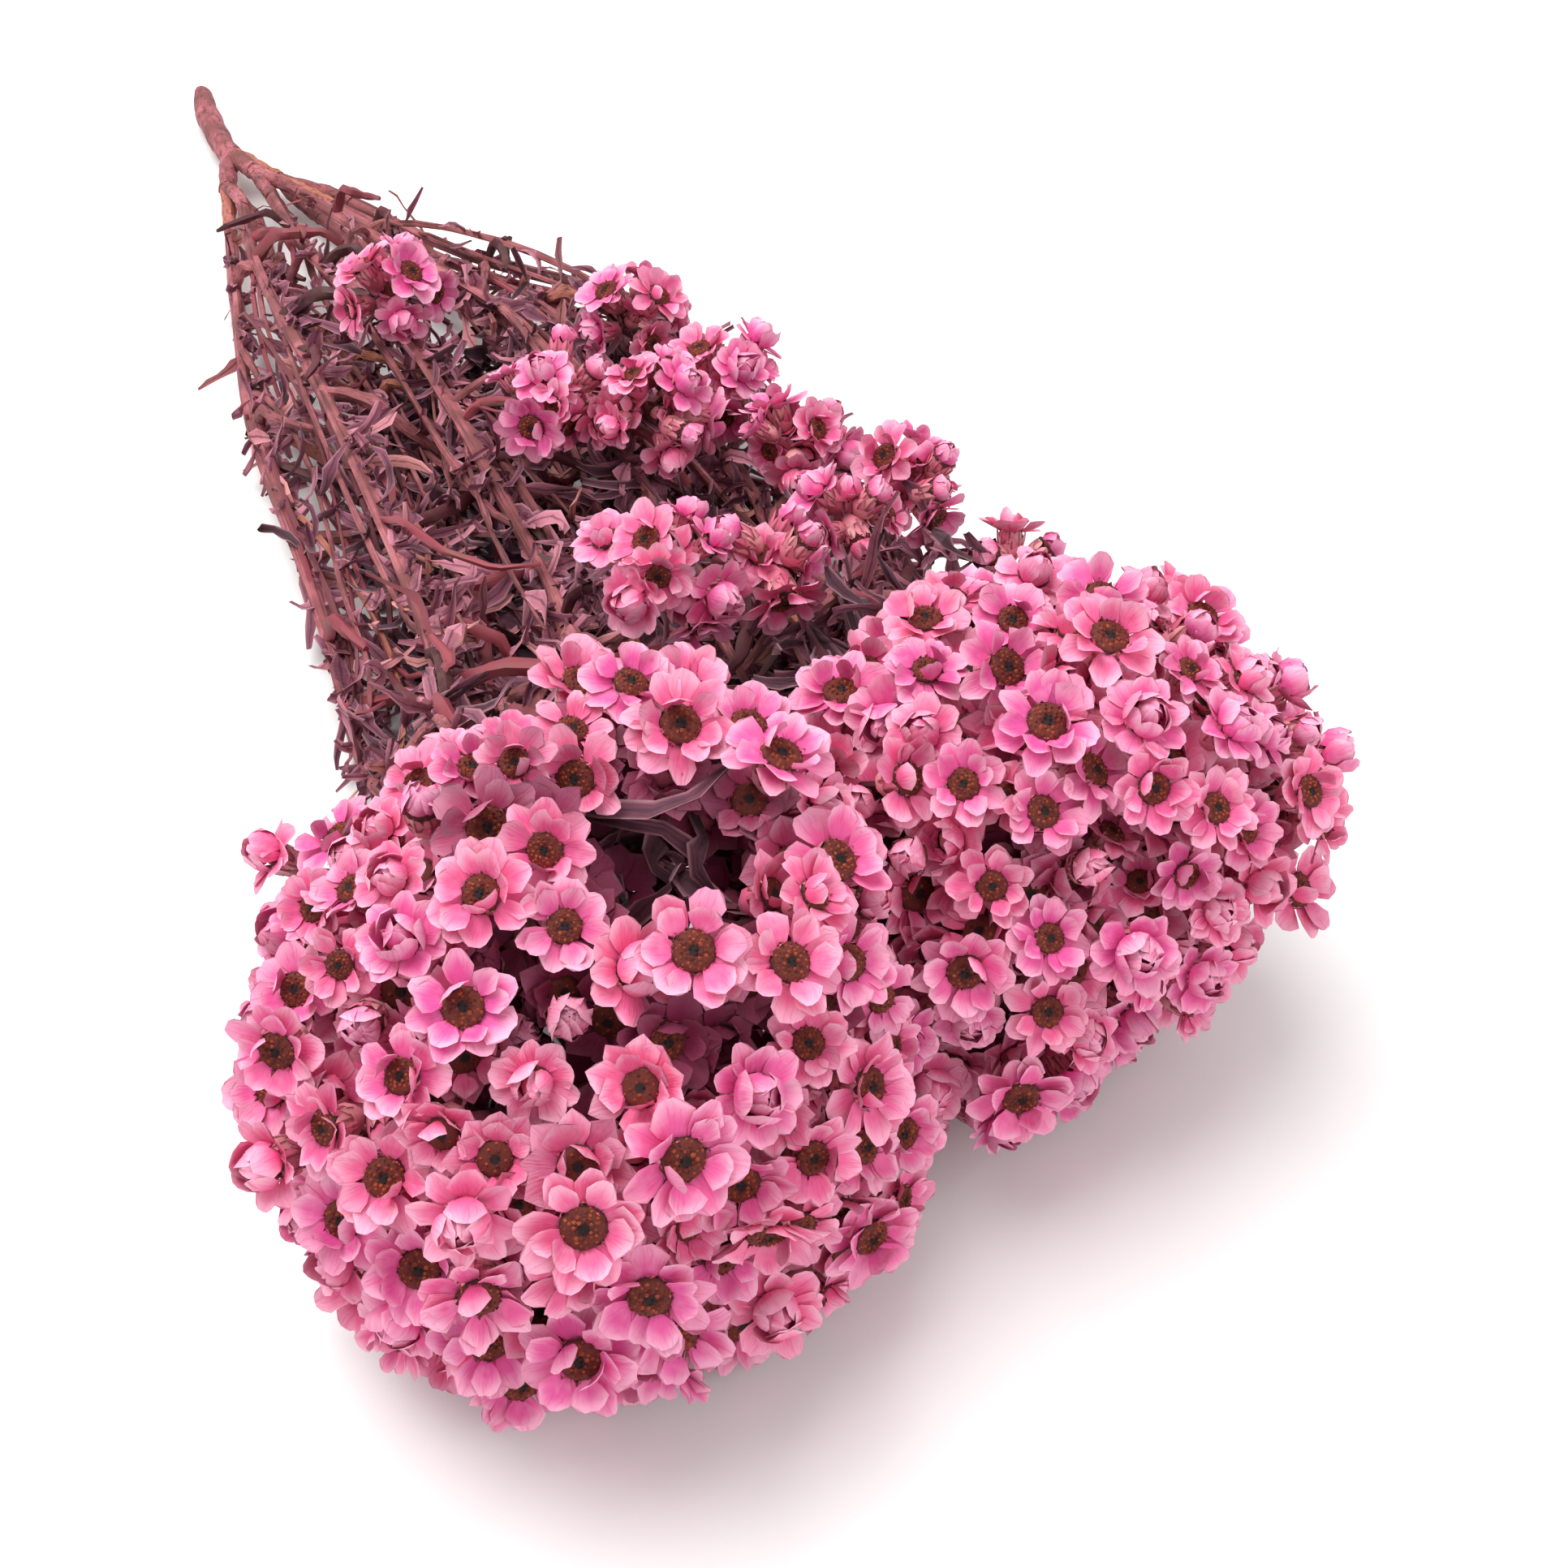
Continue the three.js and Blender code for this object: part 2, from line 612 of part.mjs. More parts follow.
function note(taken, spine, radius, owner, spacing) {
  const count = Math.max(Math.ceil(lengthOf(spine) / spacing), 1);
  for (let i = 0; i <= count; i += 1) {
    taken.push({ at: along(spine, i / count), radius, owner });
  }
}

function noteSpray(taken, spray) {
  note(taken, spray.spine, PEDUNCLE_RADIUS, spray.name, 2);
  for (const bloom of spray.blooms) {
    const neck = bloom.at.clone().addScaledVector(bloom.up, -CUP_LENGTH);
    note(taken, [bloom.foot, neck], PEDICEL_RADIUS, spray.name, 2);
    taken.push({ at: bloom.at.clone(), radius: bloom.radius, owner: spray.name });
    taken.push({ at: neck.lerp(bloom.at, 0.6), radius: CUP_RADIUS, owner: spray.name });
  }
}

function isClear(curve, owner, taken, clearance) {
  for (let i = 0; i <= CLEARANCE_CHECKS; i += 1) {
    const point = curve.getPoint(i / CLEARANCE_CHECKS);
    if (point.z < LEAF_FLOOR) {
      return false;
    }
    for (const spot of taken) {
      const need = spot.radius + clearance;
      if (spot.owner !== owner && spot.at.distanceToSquared(point) < need * need) {
        return false;
      }
    }
  }
  return true;
}

function leafCurve(root, tangent, draw, length) {
  const { u, v } = across(tangent);
  const around = draw() * 2 * Math.PI;
  const side = u.multiplyScalar(Math.cos(around)).addScaledVector(v, Math.sin(around));
  const open = LEAF_OPEN.least + draw() * LEAF_OPEN.spread;
  const curl = open + (draw() - LEAF_CURL.middle) * LEAF_CURL.spread;
  const twist = (draw() - 0.5) * LEAF_TWIST;
  const middle = root.clone().addScaledVector(tangent, Math.cos(open) * length * 0.5);
  middle.addScaledVector(side, Math.sin(open) * length * 0.5);
  const tip = middle.clone().addScaledVector(tangent, Math.cos(curl) * length * 0.5);
  tip.addScaledVector(side, Math.sin(curl) * length * 0.5);
  tip.addScaledVector(new THREE.Vector3().crossVectors(tangent, side), twist * length * 0.5);
  return new THREE.QuadraticBezierCurve3(root, middle, tip);
}

function growLeaf(stem, spine, t, draw, taken, length) {
  const root = along(spine, t);
  const tangent = heading(spine, t);
  for (let i = 0; i < LEAF_TRIES; i += 1) {
    const curve = leafCurve(root, tangent, draw, length * (1 - LEAF_SHRINK * i));
    if (isClear(curve, stem.name, taken, LEAF_CLEARANCE)) {
      note(taken, curve.getPoints(LEAF_STEPS), LEAF_WIDTH * 0.6, stem.name, 3);
      return curve;
    }
  }
  return null;
}

function stemLeaves(stem, taken) {
  const leaves = [];
  const { least, most } = LEAF_LENGTH;
  const seeds = draws(LEAF_SEED + stem.index * SEED_STEP);
  for (let k = 0; k < LEAVES_PER_STEM; k += 1) {
    const draw = branchDraws(seeds);
    const step = (k + draw() * LEAF_SPAN.jitter) / LEAVES_PER_STEM;
    const t = LEAF_SPAN.start + LEAF_SPAN.length * step;
    const length = least + (most - least) * draw();
    leaves.push(growLeaf(stem, stem.spine, t, draw, taken, length));
  }
  return leaves.filter(Boolean);
}

function hollowLeaves(stem, arm, taken) {
  const leaves = [];
  const seeds = draws(HOLLOW_SEED);
  for (let k = 0; k < HOLLOW_LEAVES; k += 1) {
    const t = HOLLOW_SPAN.start + HOLLOW_SPAN.step * k;
    leaves.push(growLeaf(stem, arm, t, branchDraws(seeds), taken, HOLLOW_LENGTH));
  }
  return leaves.filter(Boolean);
}

function leafGeometry(curve) {
  const spine = curve.getPoints(LEAF_STEPS);
  const frames = sections(spine);
  const rings = LEAF_RINGS.map(({ step, width }) => {
    const v = frames[step].v.clone().multiplyScalar(LEAF_THICKNESS);
    return ringAt(spine[step], frames[step].u, v, 3, LEAF_WIDTH * width);
  });
  return skin([[curve.getPoint(1)], ...rings, [curve.getPoint(0)]]);
}

function stemPiece(stem, arms, leaves) {
  const stalk = tube(stem.spine, BRANCH_SIDES, STEM_RADIUS, STEM_END_RADIUS);
  const branches = arms.map((arm) => tube(arm, BRANCH_SIDES, ARM_RADIUS, ARM_RADIUS));
  const blades = leaves.map(leafGeometry);
  const colour = STEM_COLOURS[stem.index % STEM_COLOURS.length];
  return piece(stem.name, [stalk, ...branches, ...blades], colour, STEM_ROUGHNESS);
}

function stalkPiece(stems) {
  const trunkCurve = new THREE.QuadraticBezierCurve3(CUT_END, STALK_BEND, FORK);
  const trunk = tube(spineOf(trunkCurve, 4), STALK_SIDES, STALK_RADIUS, STALK_TOP_RADIUS);
  const parts = [trunk];
  for (const limb of LIMBS) {
    const foot = FORK.clone().add(FORK_SINK);
    const middle = FORK.clone().lerp(limb.fork, 0.5).add(FORK_SINK);
    const limbCurve = new THREE.QuadraticBezierCurve3(foot, middle, limb.fork);
    parts.push(tube(spineOf(limbCurve, 2), LIMB_SIDES, LIMB_FOOT_RADIUS, LIMB_RADIUS));
    for (const index of limb.stems) {
      const ahead = heading(stems[index].spine, 0);
      const tip = stems[index].spine[0].clone().addScaledVector(ahead, -GAP);
      const root = tip.clone().addScaledVector(ahead, -ARM_TIP);
      const control = tip.clone().addScaledVector(ahead, -FORK_BEND);
      const branch = [...spineOf(new THREE.QuadraticBezierCurve3(limb.fork, control, root), 2), tip];
      parts.push(tube(branch, BRANCH_SIDES, FORK_FOOT_RADIUS, FORK_TIP_RADIUS));
    }
  }
  return piece('stalk', parts, STALK_COLOUR, STALK_ROUGHNESS);
}

const sprays = { left: headSprays('left'), right: headSprays('right') };
const stems = stemCurves(sprays);
const sideSprays = SIDE_SPRAYS.map((site, index) => sideSpray(site, index, stems));
const allSprays = [...sprays.left, ...sprays.right, ...sideSprays];
allSprays.forEach(plantPedicels);
sizeBlooms(allSprays.flatMap((spray) => spray.blooms));
allSprays.forEach((spray) => {
  spray.blooms = spray.blooms.filter((bloom) => !bloom.dropped);
});

const taken = [];
allSprays.forEach((spray) => noteSpray(taken, spray));
const arms = stems.map(stemArms);
stems.forEach((stem, index) => {
  note(taken, stem.spine, STEM_RADIUS, stem.name, 3);
  arms[index].forEach((arm) => note(taken, arm, ARM_RADIUS, stem.name, 2));
});

const bunch = new THREE.Group();
bunch.add(stalkPiece(stems));
stems.forEach((stem, index) => {
  const leaves = stemLeaves(stem, taken);
  if (index === HOLLOW_STEM) {
    leaves.push(...hollowLeaves(stem, arms[index][0], taken));
  }
  bunch.add(stemPiece(stem, arms[index], leaves));
});
allSprays.forEach((spray) => {
  bunch.add(sprayPiece(spray, spray.key % 2 === 0 ? PETAL_PINK : PETAL_DEEP));
});

export default bunch;
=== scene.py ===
"""Dried ixodia: a lying bunch of small papery daisies, dyed pink, on its leafy stems and forked stalk.

The bunch grows again by the rule that its solids were grown by: stems, sprays, blooms and leaves stand
in the same places. Each petal, scale, floret, leaf and twig is modelled once and copied, and every copy
is bent, curled and coloured on its own. Lengths are in metres.
"""

import math
from functools import cache
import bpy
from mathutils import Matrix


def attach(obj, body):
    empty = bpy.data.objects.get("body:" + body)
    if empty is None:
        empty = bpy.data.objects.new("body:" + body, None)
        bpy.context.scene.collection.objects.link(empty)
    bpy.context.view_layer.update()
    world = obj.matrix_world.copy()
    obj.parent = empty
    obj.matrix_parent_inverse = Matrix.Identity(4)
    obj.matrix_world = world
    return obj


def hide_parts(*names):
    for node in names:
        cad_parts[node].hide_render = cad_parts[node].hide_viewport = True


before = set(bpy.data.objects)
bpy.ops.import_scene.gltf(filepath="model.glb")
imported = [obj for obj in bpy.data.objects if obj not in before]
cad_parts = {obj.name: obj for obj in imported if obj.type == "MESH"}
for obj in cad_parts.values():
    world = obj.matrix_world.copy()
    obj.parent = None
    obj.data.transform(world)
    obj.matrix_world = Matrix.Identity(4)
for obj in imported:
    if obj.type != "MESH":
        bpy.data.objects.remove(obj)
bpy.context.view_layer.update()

from types import SimpleNamespace

import bpy
import numpy as np
from bpy.props import FloatProperty, FloatVectorProperty, IntProperty, PointerProperty

bl_info = {
    "name": "Dried ixodia",
    "version": (1, 0, 0),
    "blender": (4, 5, 0),
    "location": "View3D > Sidebar > Ixodia",
    "description": "Grows a lying bunch of dried ixodia: stalk, leafy stems and sprays of papery blooms",
    "category": "Add Mesh",
}

MM = 0.001


def mm(*values):
    """Millimetres in metres: one length, or a point."""
    return values[0] * MM if len(values) == 1 else np.array(values, float) * MM


def unit(vector):
    return vector / np.linalg.norm(vector)


# The sRGB curve: where its straight part ends, that part's slope, the offset and the power of the rest.
SRGB_KNEE = 0.04045
SRGB_SLOPE = 12.92
SRGB_OFFSET = 0.055
SRGB_POWER = 2.4


def linear(red, green, blue):
    """A colour given in 0 to 255, as the shaders want it."""
    shares = [c / 255 for c in (red, green, blue)]
    curved = [((s + SRGB_OFFSET) / (1 + SRGB_OFFSET)) ** SRGB_POWER for s in shares]
    return tuple(s / SRGB_SLOPE if s <= SRGB_KNEE else curve for s, curve in zip(shares, curved))


# The row of draws: each state is the last one times a factor, within a range.
DRAW_FACTOR = 16807
DRAW_RANGE = 2147483647

# The growth rule's sizes, as in the part's source. The shift brings the bunch to the frame's middle.
SHIFT = mm(-3.424, 0.356, 0)
GAP = mm(0.3)
CUT_END = mm(-11, 222, 3.1)
STALK_BEND = mm(-14.5, 196, 4)
FORK = mm(-13, 168, 6)
FORK_SINK = mm(0, 2, 0)
LIMBS = [
    (mm(-18, 149, 6), (0, 1, 2)),
    (mm(-11, 147, 10), (3, 4, 5)),
    (mm(-5, 149, 6), (6, 7, 8)),
]
STALK_RADIUS = mm(3.2)
LIMB_RADIUS = mm(2.1)
FORK_TIP_RADIUS = mm(1.5)

# The bundle of stems, row by row: its y, its middle, its half width, and its share of the stems' heights.
BUNDLE = [
    (mm(126), mm(-7), mm(15), 0.55),
    (mm(84), mm(-3), mm(27), 0.75),
    (mm(25), mm(8), mm(43), 1),
    (mm(-48), mm(10), mm(49), 1.05),
    (mm(-84), mm(8), mm(50), 1.05),
]

# Each leafy stem: place across the bundle, height, head and the sprays that it feeds.
STEMS = [
    (-1, mm(8), "left", (4, 5)),
    (-0.74, mm(19), "left", (2, 3, 7)),
    (-0.52, mm(8), "left", (6, 8)),
    (-0.26, mm(21), "left", (0, 1)),
    (-0.02, mm(8), "right", (4,)),
    (0.2, mm(21), "right", (3, 6)),
    (0.46, mm(8), "right", (5, 7)),
    (0.7, mm(13), "right", (1, 2)),
    (1, mm(13), "right", (0,)),
]
STEM_RADIUS = mm(1.4)
STEM_END_RADIUS = mm(1.1)
STEM_STEPS = 9
# Steps of the finished stem for each step of the solid one, and steps of the finished arm.
STEM_FINENESS = 6
ARM_FINE_STEPS = 9
ARM_RADIUS = mm(1)
ARM_REACH = 0.55
ARM_STEPS = 2
ARM_BEND = mm(9)
ARM_TIP = mm(3)
FORK_BEND = mm(11)
WAVE = mm(2.2)
STEM_SEED = 5000
LEAF_SEED = 9000
HOLLOW_SEED = 8000
SEED_STEP = 71

# The two domes of blooms. The cap and the ring of sprays are in radians, the rest is shares and lengths.
HEADS = {
    "left": SimpleNamespace(
        centre=mm(-33, -178.5, 35.5),
        facing=np.array([-0.1, -0.75, 0.65]),
        root=mm(-30, -80, 15),
        radius=mm(36),
        turned=0.5,
        lean=0,
        flat=0,
        cap=1.85,
        places=105,
        ring=(0.35, 1.05, 1.75, 2.44, 3.14, 4.01, 5.41),
        seed=31,
    ),
    "right": SimpleNamespace(
        centre=mm(29, -168, 33.5),
        facing=np.array([0.15, -0.72, 0.65]),
        root=mm(33, -72, 15),
        radius=mm(32.5),
        turned=0.5,
        lean=0.25,
        flat=0.12,
        cap=1.85,
        places=97,
        ring=(0.17, 0.87, 1.57, 2.35, 4.01, 5.41),
        seed=57,
    ),
}
FAR_SIDE = unit(np.array([0.25, 0.59, 0.77]))
LEAN_SIDE = unit(np.array([0.92, -0.4, 0]))
RING_ANGLE = 0.26
CORE = (3.14, 0)
CORE_ANGLE = 0.1
LUMP = mm(3)
SPRAY_PUSH = mm(3.6)
HOLLOW = np.array([0.22, -0.24, 0.94])
HOLLOW_ANGLE = 0.34
HOLLOW_STEM = 3
HEAD_GAP = mm(4.4)
BURIED = mm(0.5)
SPRAY_BASE = mm(43)
SPRAY_TOP_DEPTH = mm(13)
SPRAY_STEPS = 8
PEDUNCLE_RADIUS = mm(1.15)
PEDUNCLE_TIP_RADIUS = mm(0.95)
PEDICEL_RADIUS = mm(0.62)
PEDICEL_STEP = mm(2.5)
PEDICEL_START = 0.4
PEDUNCLE_BARE = mm(3)

# Single blooms that stand away from the heads: place, way that they face, and what decides their kind.
STRAYS = {
    "left": [
        (mm(-61, -122, 24), (-0.8, 0.1, 0.6), 0.2),
        (mm(-53, -131, 32), (-0.6, -0.1, 0.8), 0.9),
        (mm(-62, -144, 27), (-0.85, -0.3, 0.45), 0.25),
        (mm(-47, -206, 6.5), (-0.15, -0.8, -0.55), 0.6),
    ],
    "right": [
        (mm(70, -134, 39), (0.5, 0.1, 0.85), 0.7),
        (mm(77, -130, 36), (0.5, 0.3, 0.8), 0.5),
        (mm(79, -139, 32), (0.7, 0.1, 0.7), 0.2),
        (mm(73, -147, 34), (0.8, -0.2, 0.6), 0.8),
    ],
}

# Side sprays: middle, blooms, the stem that bears each, how far back it leaves it, share that is closed.
SIDE_SPRAYS = [
    (mm(-6, 26, 30), 5, 3, mm(20), 0),
    (mm(9, -35, 34), 6, 3, mm(20), 0.2),
    (mm(24, -44, 34), 6, 5, mm(22), 0.2),
    (mm(37.5, 7, 25), 5, 7, mm(20), 0.1),
    (mm(45, -25, 25), 5, 8, mm(20), 0.1),
    (mm(48, -53, 27), 4, 8, mm(16), 0.1),
    (mm(60, -72, 26), 4, 8, mm(20), 0),
    (mm(41, -88, 33), 3, 7, mm(20), 1),
    (mm(3, -111, 46), 6, 3, mm(28), 0.3),
    (mm(17, -111.5, 44), 4, 5, mm(28), 0.3),
    (mm(64, -104, 27), 2, 8, mm(22), 1),
]
SIDE_AREA = 92 * MM * MM
SIDE_CAP = 1.55
SIDE_FOOT = mm(2)
SIDE_RISE = mm(5)
SIDE_STEPS = 2
SIDE_FINE_STEPS = 10
SIDE_UP = 0.6
SIDE_TOP = 0.35
SIDE_SEED = 200

# Blooms by kind: radius to the petal tips and their rise.
KIND_TIP = {"open": mm(5.9), "half": mm(4.4), "bud": mm(2.6)}
KIND_RISE = {"open": mm(1.5), "half": mm(3.3), "bud": mm(1.2)}
HALF_SHARE = 0.22
BUD_SHARE = 0.08
CLOSED_BUD_SHARE = 0.5
SMALLEST = {"open": mm(3.7), "half": mm(2.9), "bud": mm(2.3)}
NEIGHBOUR_REACH = mm(17)
BLOOM_GAP = mm(0.2)
LEAST_SIDEWAYS = 0.01
CUP_RADIUS = mm(1.9)
CUP_LENGTH = mm(5.2)
LOWEST_BLOOM = mm(5.2)
LOW_BLOOM = mm(12)
LOW_TILT = -0.3
BLOOM_JITTER = 0.06
BLOOM_LEAN = 0.5
BLOOM_LIFT = mm(3)
LEAST_FACING = 0.5
FACING_SPARE = 0.25
GOLDEN_ANGLE = math.pi * (3 - math.sqrt(5))

# Where a line ends for what stands on it, and the upright share past which a way counts as steep.
LINE_END = 0.9999
STEEP = 0.9

# The balls that mark the room already filled: how close they follow each other, and one inside the cup.
SPACING = mm(2)
WIDE_SPACING = mm(3)
CUP_BALL = 0.6

LEAVES_PER_STEM = 8
LEAF_STEPS = 8
LEAF_LENGTH = (mm(14), mm(27))
LEAF_TRIES = 13
LEAF_CLEARANCE = mm(1.8)
LEAF_ROOM = mm(0.6)
LEAF_FLOOR = mm(1.3)
LEAF_SHRINK = 0.04
LEAF_OPEN = (0.25, 0.4)
LEAF_CURL = (0.5, 1.7)
LEAF_TWIST = 0.9
LEAF_SPAN = (0.06, 0.92, 0.8)
HOLLOW_LEAVES = 5
HOLLOW_SPAN = (0.3, 0.14)
HOLLOW_LENGTH = mm(32)
HOLLOW_WIDTH = 1.5
CLEARANCE_CHECKS = 12

# What only the finished look has: blooms in the gaps between those of the solids, curly leaves close to
# the stems, long ribbon-like ones, bare hooks, thin strands that wander between the stems, shrivelled
# tufts, and leaves low under the stems and inside the heads, coloured dark as painted shade.
FILL_SEED = 700
FILL_SEED_STEP = 7
FILL_SWAY_SEED = 50
FILL_SIZE = (0.8, 1.2)
FILL_HEAD_GAP = mm(2)
FILL_SWAY = mm(3)
FILL_LEAN = 0.8
CREVICE = 0.05
# Layers of fill: depth under the dome, least gap to other blooms, bloom radius, places tried, detail.
HEAD_FILLS = (
    (mm(1), mm(6.6), mm(4.6), 520, 0),
    (mm(6), mm(5.4), mm(4.6), 460, 1),
    (mm(13), mm(6.6), mm(5.2), 300, 2),
    (mm(21), mm(7.4), mm(5.2), 160, 2),
)
SIDE_FILLS = (
    (mm(0.5), mm(5.4), mm(4.1), 16, 0),
    (mm(4.5), mm(4.8), mm(4), 12, 1),
)
STRAND_SEED = 12000
CURLY_STEPS = 8
STRAND_STEPS = 14
STRAND_WAVE = mm(2.6)
STRAND_RADIUS = (mm(0.4), mm(0.95))
CURLY_LENGTH = (mm(7), mm(18))
CURLY_BEND = (1.3, 4.2)
RIBBON_LENGTH = (mm(18), mm(36))
RIBBON_BEND = (0.8, 2.4)
CORE_SEED = 5200
CORE_LEAVES = 12
CORE_REACH = mm(66)
CORE_ROOM = mm(40)
CORE_BOW = mm(16)
HOOK_LENGTH = (mm(22), mm(56))
HOOK_BEND = (0.7, 2.4)
HOOK_RADIUS = (mm(0.7), mm(1.5))
HOOK_RISE = mm(7)
UNDER_SWAY = mm(12)
UNDER_SPREAD = 0.84
UNDER_SHARE = 0.4
UNDER_TOP = mm(14)
UNDER_LENGTH = mm(17)
UNDER_BEND = (0.6, 2.2)
TUFT_LEAVES = 8
TUFT_LENGTH = (mm(4), mm(10))
SPRAY_LEAVES = 20
# The bundle's half width at which leaves are full size.
FULL_ROOM = mm(42)

# Twisted leaves seen in the hollow of the left head: way points of each, and its width.
HOLLOW_TWISTS = (
    ((mm(-28.5, -163.2, 56), mm(-28.3, -175.4, 63), mm(-22.9, -180.7, 66), mm(-14.5, -177.5, 66)), 1.6),
    ((mm(-28.3, -164.5, 55), mm(-26, -176.4, 61), mm(-22.6, -179.3, 61), mm(-20.6, -182.3, 58)), 1.4),
    ((mm(-26.1, -164.3, 50), mm(-23, -175, 57), mm(-25.5, -179.1, 58), mm(-22.3, -180.6, 54)), 1.2),
    ((mm(-18, -166.5, 55), mm(-18.8, -179.7, 60), mm(-21.9, -183, 60), mm(-19.4, -184.4, 55)), 1.3),
    ((mm(-27.7, -170.7, 45), mm(-26.9, -170.7, 52), mm(-27.2, -169.9, 55)), 1.2),
)
HOLLOW_TWIGS = 12
HOLLOW_ROOM = mm(12)
# How far the painted shade on blooms reaches into the hollow: the mouth's depth under the dome, the reach
# from its axis, and the fade.
HOLLOW_MOUTH = mm(4.5)
HOLLOW_REACH = mm(24)
HOLLOW_FADE = mm(5)
HOLLOW_DEPTH = (mm(10), mm(14))
HOLLOW_TWIG_LEAVES = 7
LOWEST_LEAF = mm(1.6)
TABLE_TOP = mm(0.06)

# The photograph's camera.
CAMERA_PLACE = mm(-78.4, -331.2, 203)
CAMERA_PITCH = math.radians(40)
CAMERA_HEADING = math.atan2(0.3955, 0.9184)
CAMERA_LENS = 44.72


def draws(seed):
    """A row of numbers from 0 to 1 that is the same on every run."""
    state = seed

    def draw():
        nonlocal state
        state = state * DRAW_FACTOR % DRAW_RANGE
        return state / DRAW_RANGE

    draw()
    draw()
    return draw


def branch_draws(draw):
    """A row of draws of its own for each leaf, so that one leaf's draws don't move the next."""
    return draws(1 + int(draw() * (DRAW_RANGE - 2)))


def nudge(draw):
    """A number from -0.5 to 0.5."""
    return draw() - 0.5


def sway(draw):
    """A step any way, each part of it from -0.5 to 0.5."""
    return np.array([nudge(draw), nudge(draw), nudge(draw)])


def part_way(ends, share):
    """The value that lies a share of the way from one end to the other."""
    return ends[0] + (ends[1] - ends[0]) * share


def angle_between(a, b):
    return math.acos(min(max(float(unit(a) @ unit(b)), -1), 1))


def across(direction):
    """Two directions at right angles to one, and to each other."""
    reference = np.array([0, 0, 1.0]) if abs(direction[2]) < STEEP else np.array([0, 1.0, 0])
    u = unit(np.cross(reference, direction))
    return u, unit(np.cross(direction, u))


def bezier(a, b, c, steps):
    t = np.linspace(0, 1, steps + 1)[:, None]
    return (1 - t) ** 2 * a + 2 * t * (1 - t) * b + t**2 * c


def flowing(points, steps):
    """A smooth line through the points, even in each stretch."""
    points = np.array(points)
    before = np.vstack([2 * points[0] - points[1], points, 2 * points[-1] - points[-2]])
    line = []
    for k in range(steps + 1):
        place = (len(points) - 1) * k / steps
        i = min(int(place), len(points) - 2)
        w = place - i
        p0, p1, p2, p3 = before[i : i + 4]
        start, end = 0.5 * (p2 - p0), 0.5 * (p3 - p1)
        cubic = 2 * p1 - 2 * p2 + start + end
        square = -3 * p1 + 3 * p2 - 2 * start - end
        line.append(p1 + start * w + square * w**2 + cubic * w**3)
    return np.array(line)


def along(spine, t):
    place = min(max(t, 0), LINE_END) * (len(spine) - 1)
    i = int(place)
    return spine[i] + (spine[i + 1] - spine[i]) * (place - i)


def heading(spine, t):
    i = int(min(max(t, 0), LINE_END) * (len(spine) - 1))
    return unit(spine[i + 1] - spine[i])


def length_of(spine):
    return float(np.linalg.norm(np.diff(spine, axis=0), axis=1).sum())


def distance(a, b):
    return float(np.linalg.norm(b - a))


def dome_blooms(facing, cap, places, seed):
    """Blooms spread evenly over a dome by the golden angle, each nudged a little."""
    facing = unit(facing)
    u, v = across(facing)
    draw = draws(seed)
    blooms = []
    for k in range(places):
        level = 1 - (k + 0.5) / places * (1 - math.cos(cap))
        side = math.sqrt(1 - level * level)
        angle = k * GOLDEN_ANGLE
        out = facing * level + u * side * math.cos(angle) + v * side * math.sin(angle)
        out = unit(out + sway(draw) * BLOOM_JITTER)
        lean = sway(draw)
        lift = nudge(draw) * BLOOM_LIFT
        spin = draw() * 2 * math.pi
        blooms.append(
            SimpleNamespace(out=out, lean=lean, lift=lift, spin=spin, pick=draw(), closed=0, detail=0)
        )
    return blooms


def settle_bloom(bloom, dome, depth=0):
    """Puts a bloom in its place on the dome and turns it the way that it faces."""
    radius = dome.radius - depth
    far = float(bloom.out @ FAR_SIDE) * radius
    bloom.at = dome.centre + bloom.out * (radius + bloom.lift)
    bloom.at = bloom.at + LEAN_SIDE * far * dome.lean - FAR_SIDE * max(far, 0) * dome.flat
    bloom.at[2] = max(bloom.at[2], LOWEST_BLOOM)
    turned = bloom.out * (1 - dome.turned) + unit(dome.facing) * dome.turned
    bloom.up = unit(turned + bloom.lean * BLOOM_LEAN)
    if bloom.at[2] < LOW_BLOOM:
        bloom.up[2] = max(bloom.up[2], LOW_TILT)
        bloom.up = unit(bloom.up)


def spray_axes(head):
    """The directions in which the sprays of a head leave its root."""
    facing = unit(head.centre - head.root)
    u, v = across(facing)
    turns = [(RING_ANGLE, turn) for turn in head.ring] + [(CORE_ANGLE, turn) for turn in CORE]
    return [
        facing * math.cos(polar) + math.sin(polar) * (u * math.cos(turn) + v * math.sin(turn))
        for polar, turn in turns
    ]


def stands_clear(bloom, side, gap):
    """Whether a bloom of a head is clear of the hollow, of the other head and of the table."""
    head = HEADS[side]
    other = HEADS["right" if side == "left" else "left"]
    between = (head.centre + other.centre) / 2
    away = unit(head.centre - other.centre)
    in_hollow = side == "left" and angle_between(bloom.out, HOLLOW) < HOLLOW_ANGLE
    crowded = (bloom.at - between) @ away < gap
    buried = head.centre[2] + bloom.out[2] * head.radius < BURIED
    return not (in_hollow or crowded or buried)


def nearest_axis(ray, axes):
    return max(range(len(axes)), key=lambda k: (ray @ axes[k], -k))


def push_bloom(bloom, angle, spray):
    """Moves a bloom with its spray: out near the spray's axis, in at an angle beside it."""
    lump = max(1 - (angle / RING_ANGLE) ** 2 * 2, -1)
    bloom.at = bloom.at + bloom.out * (LUMP * lump + spray.push)


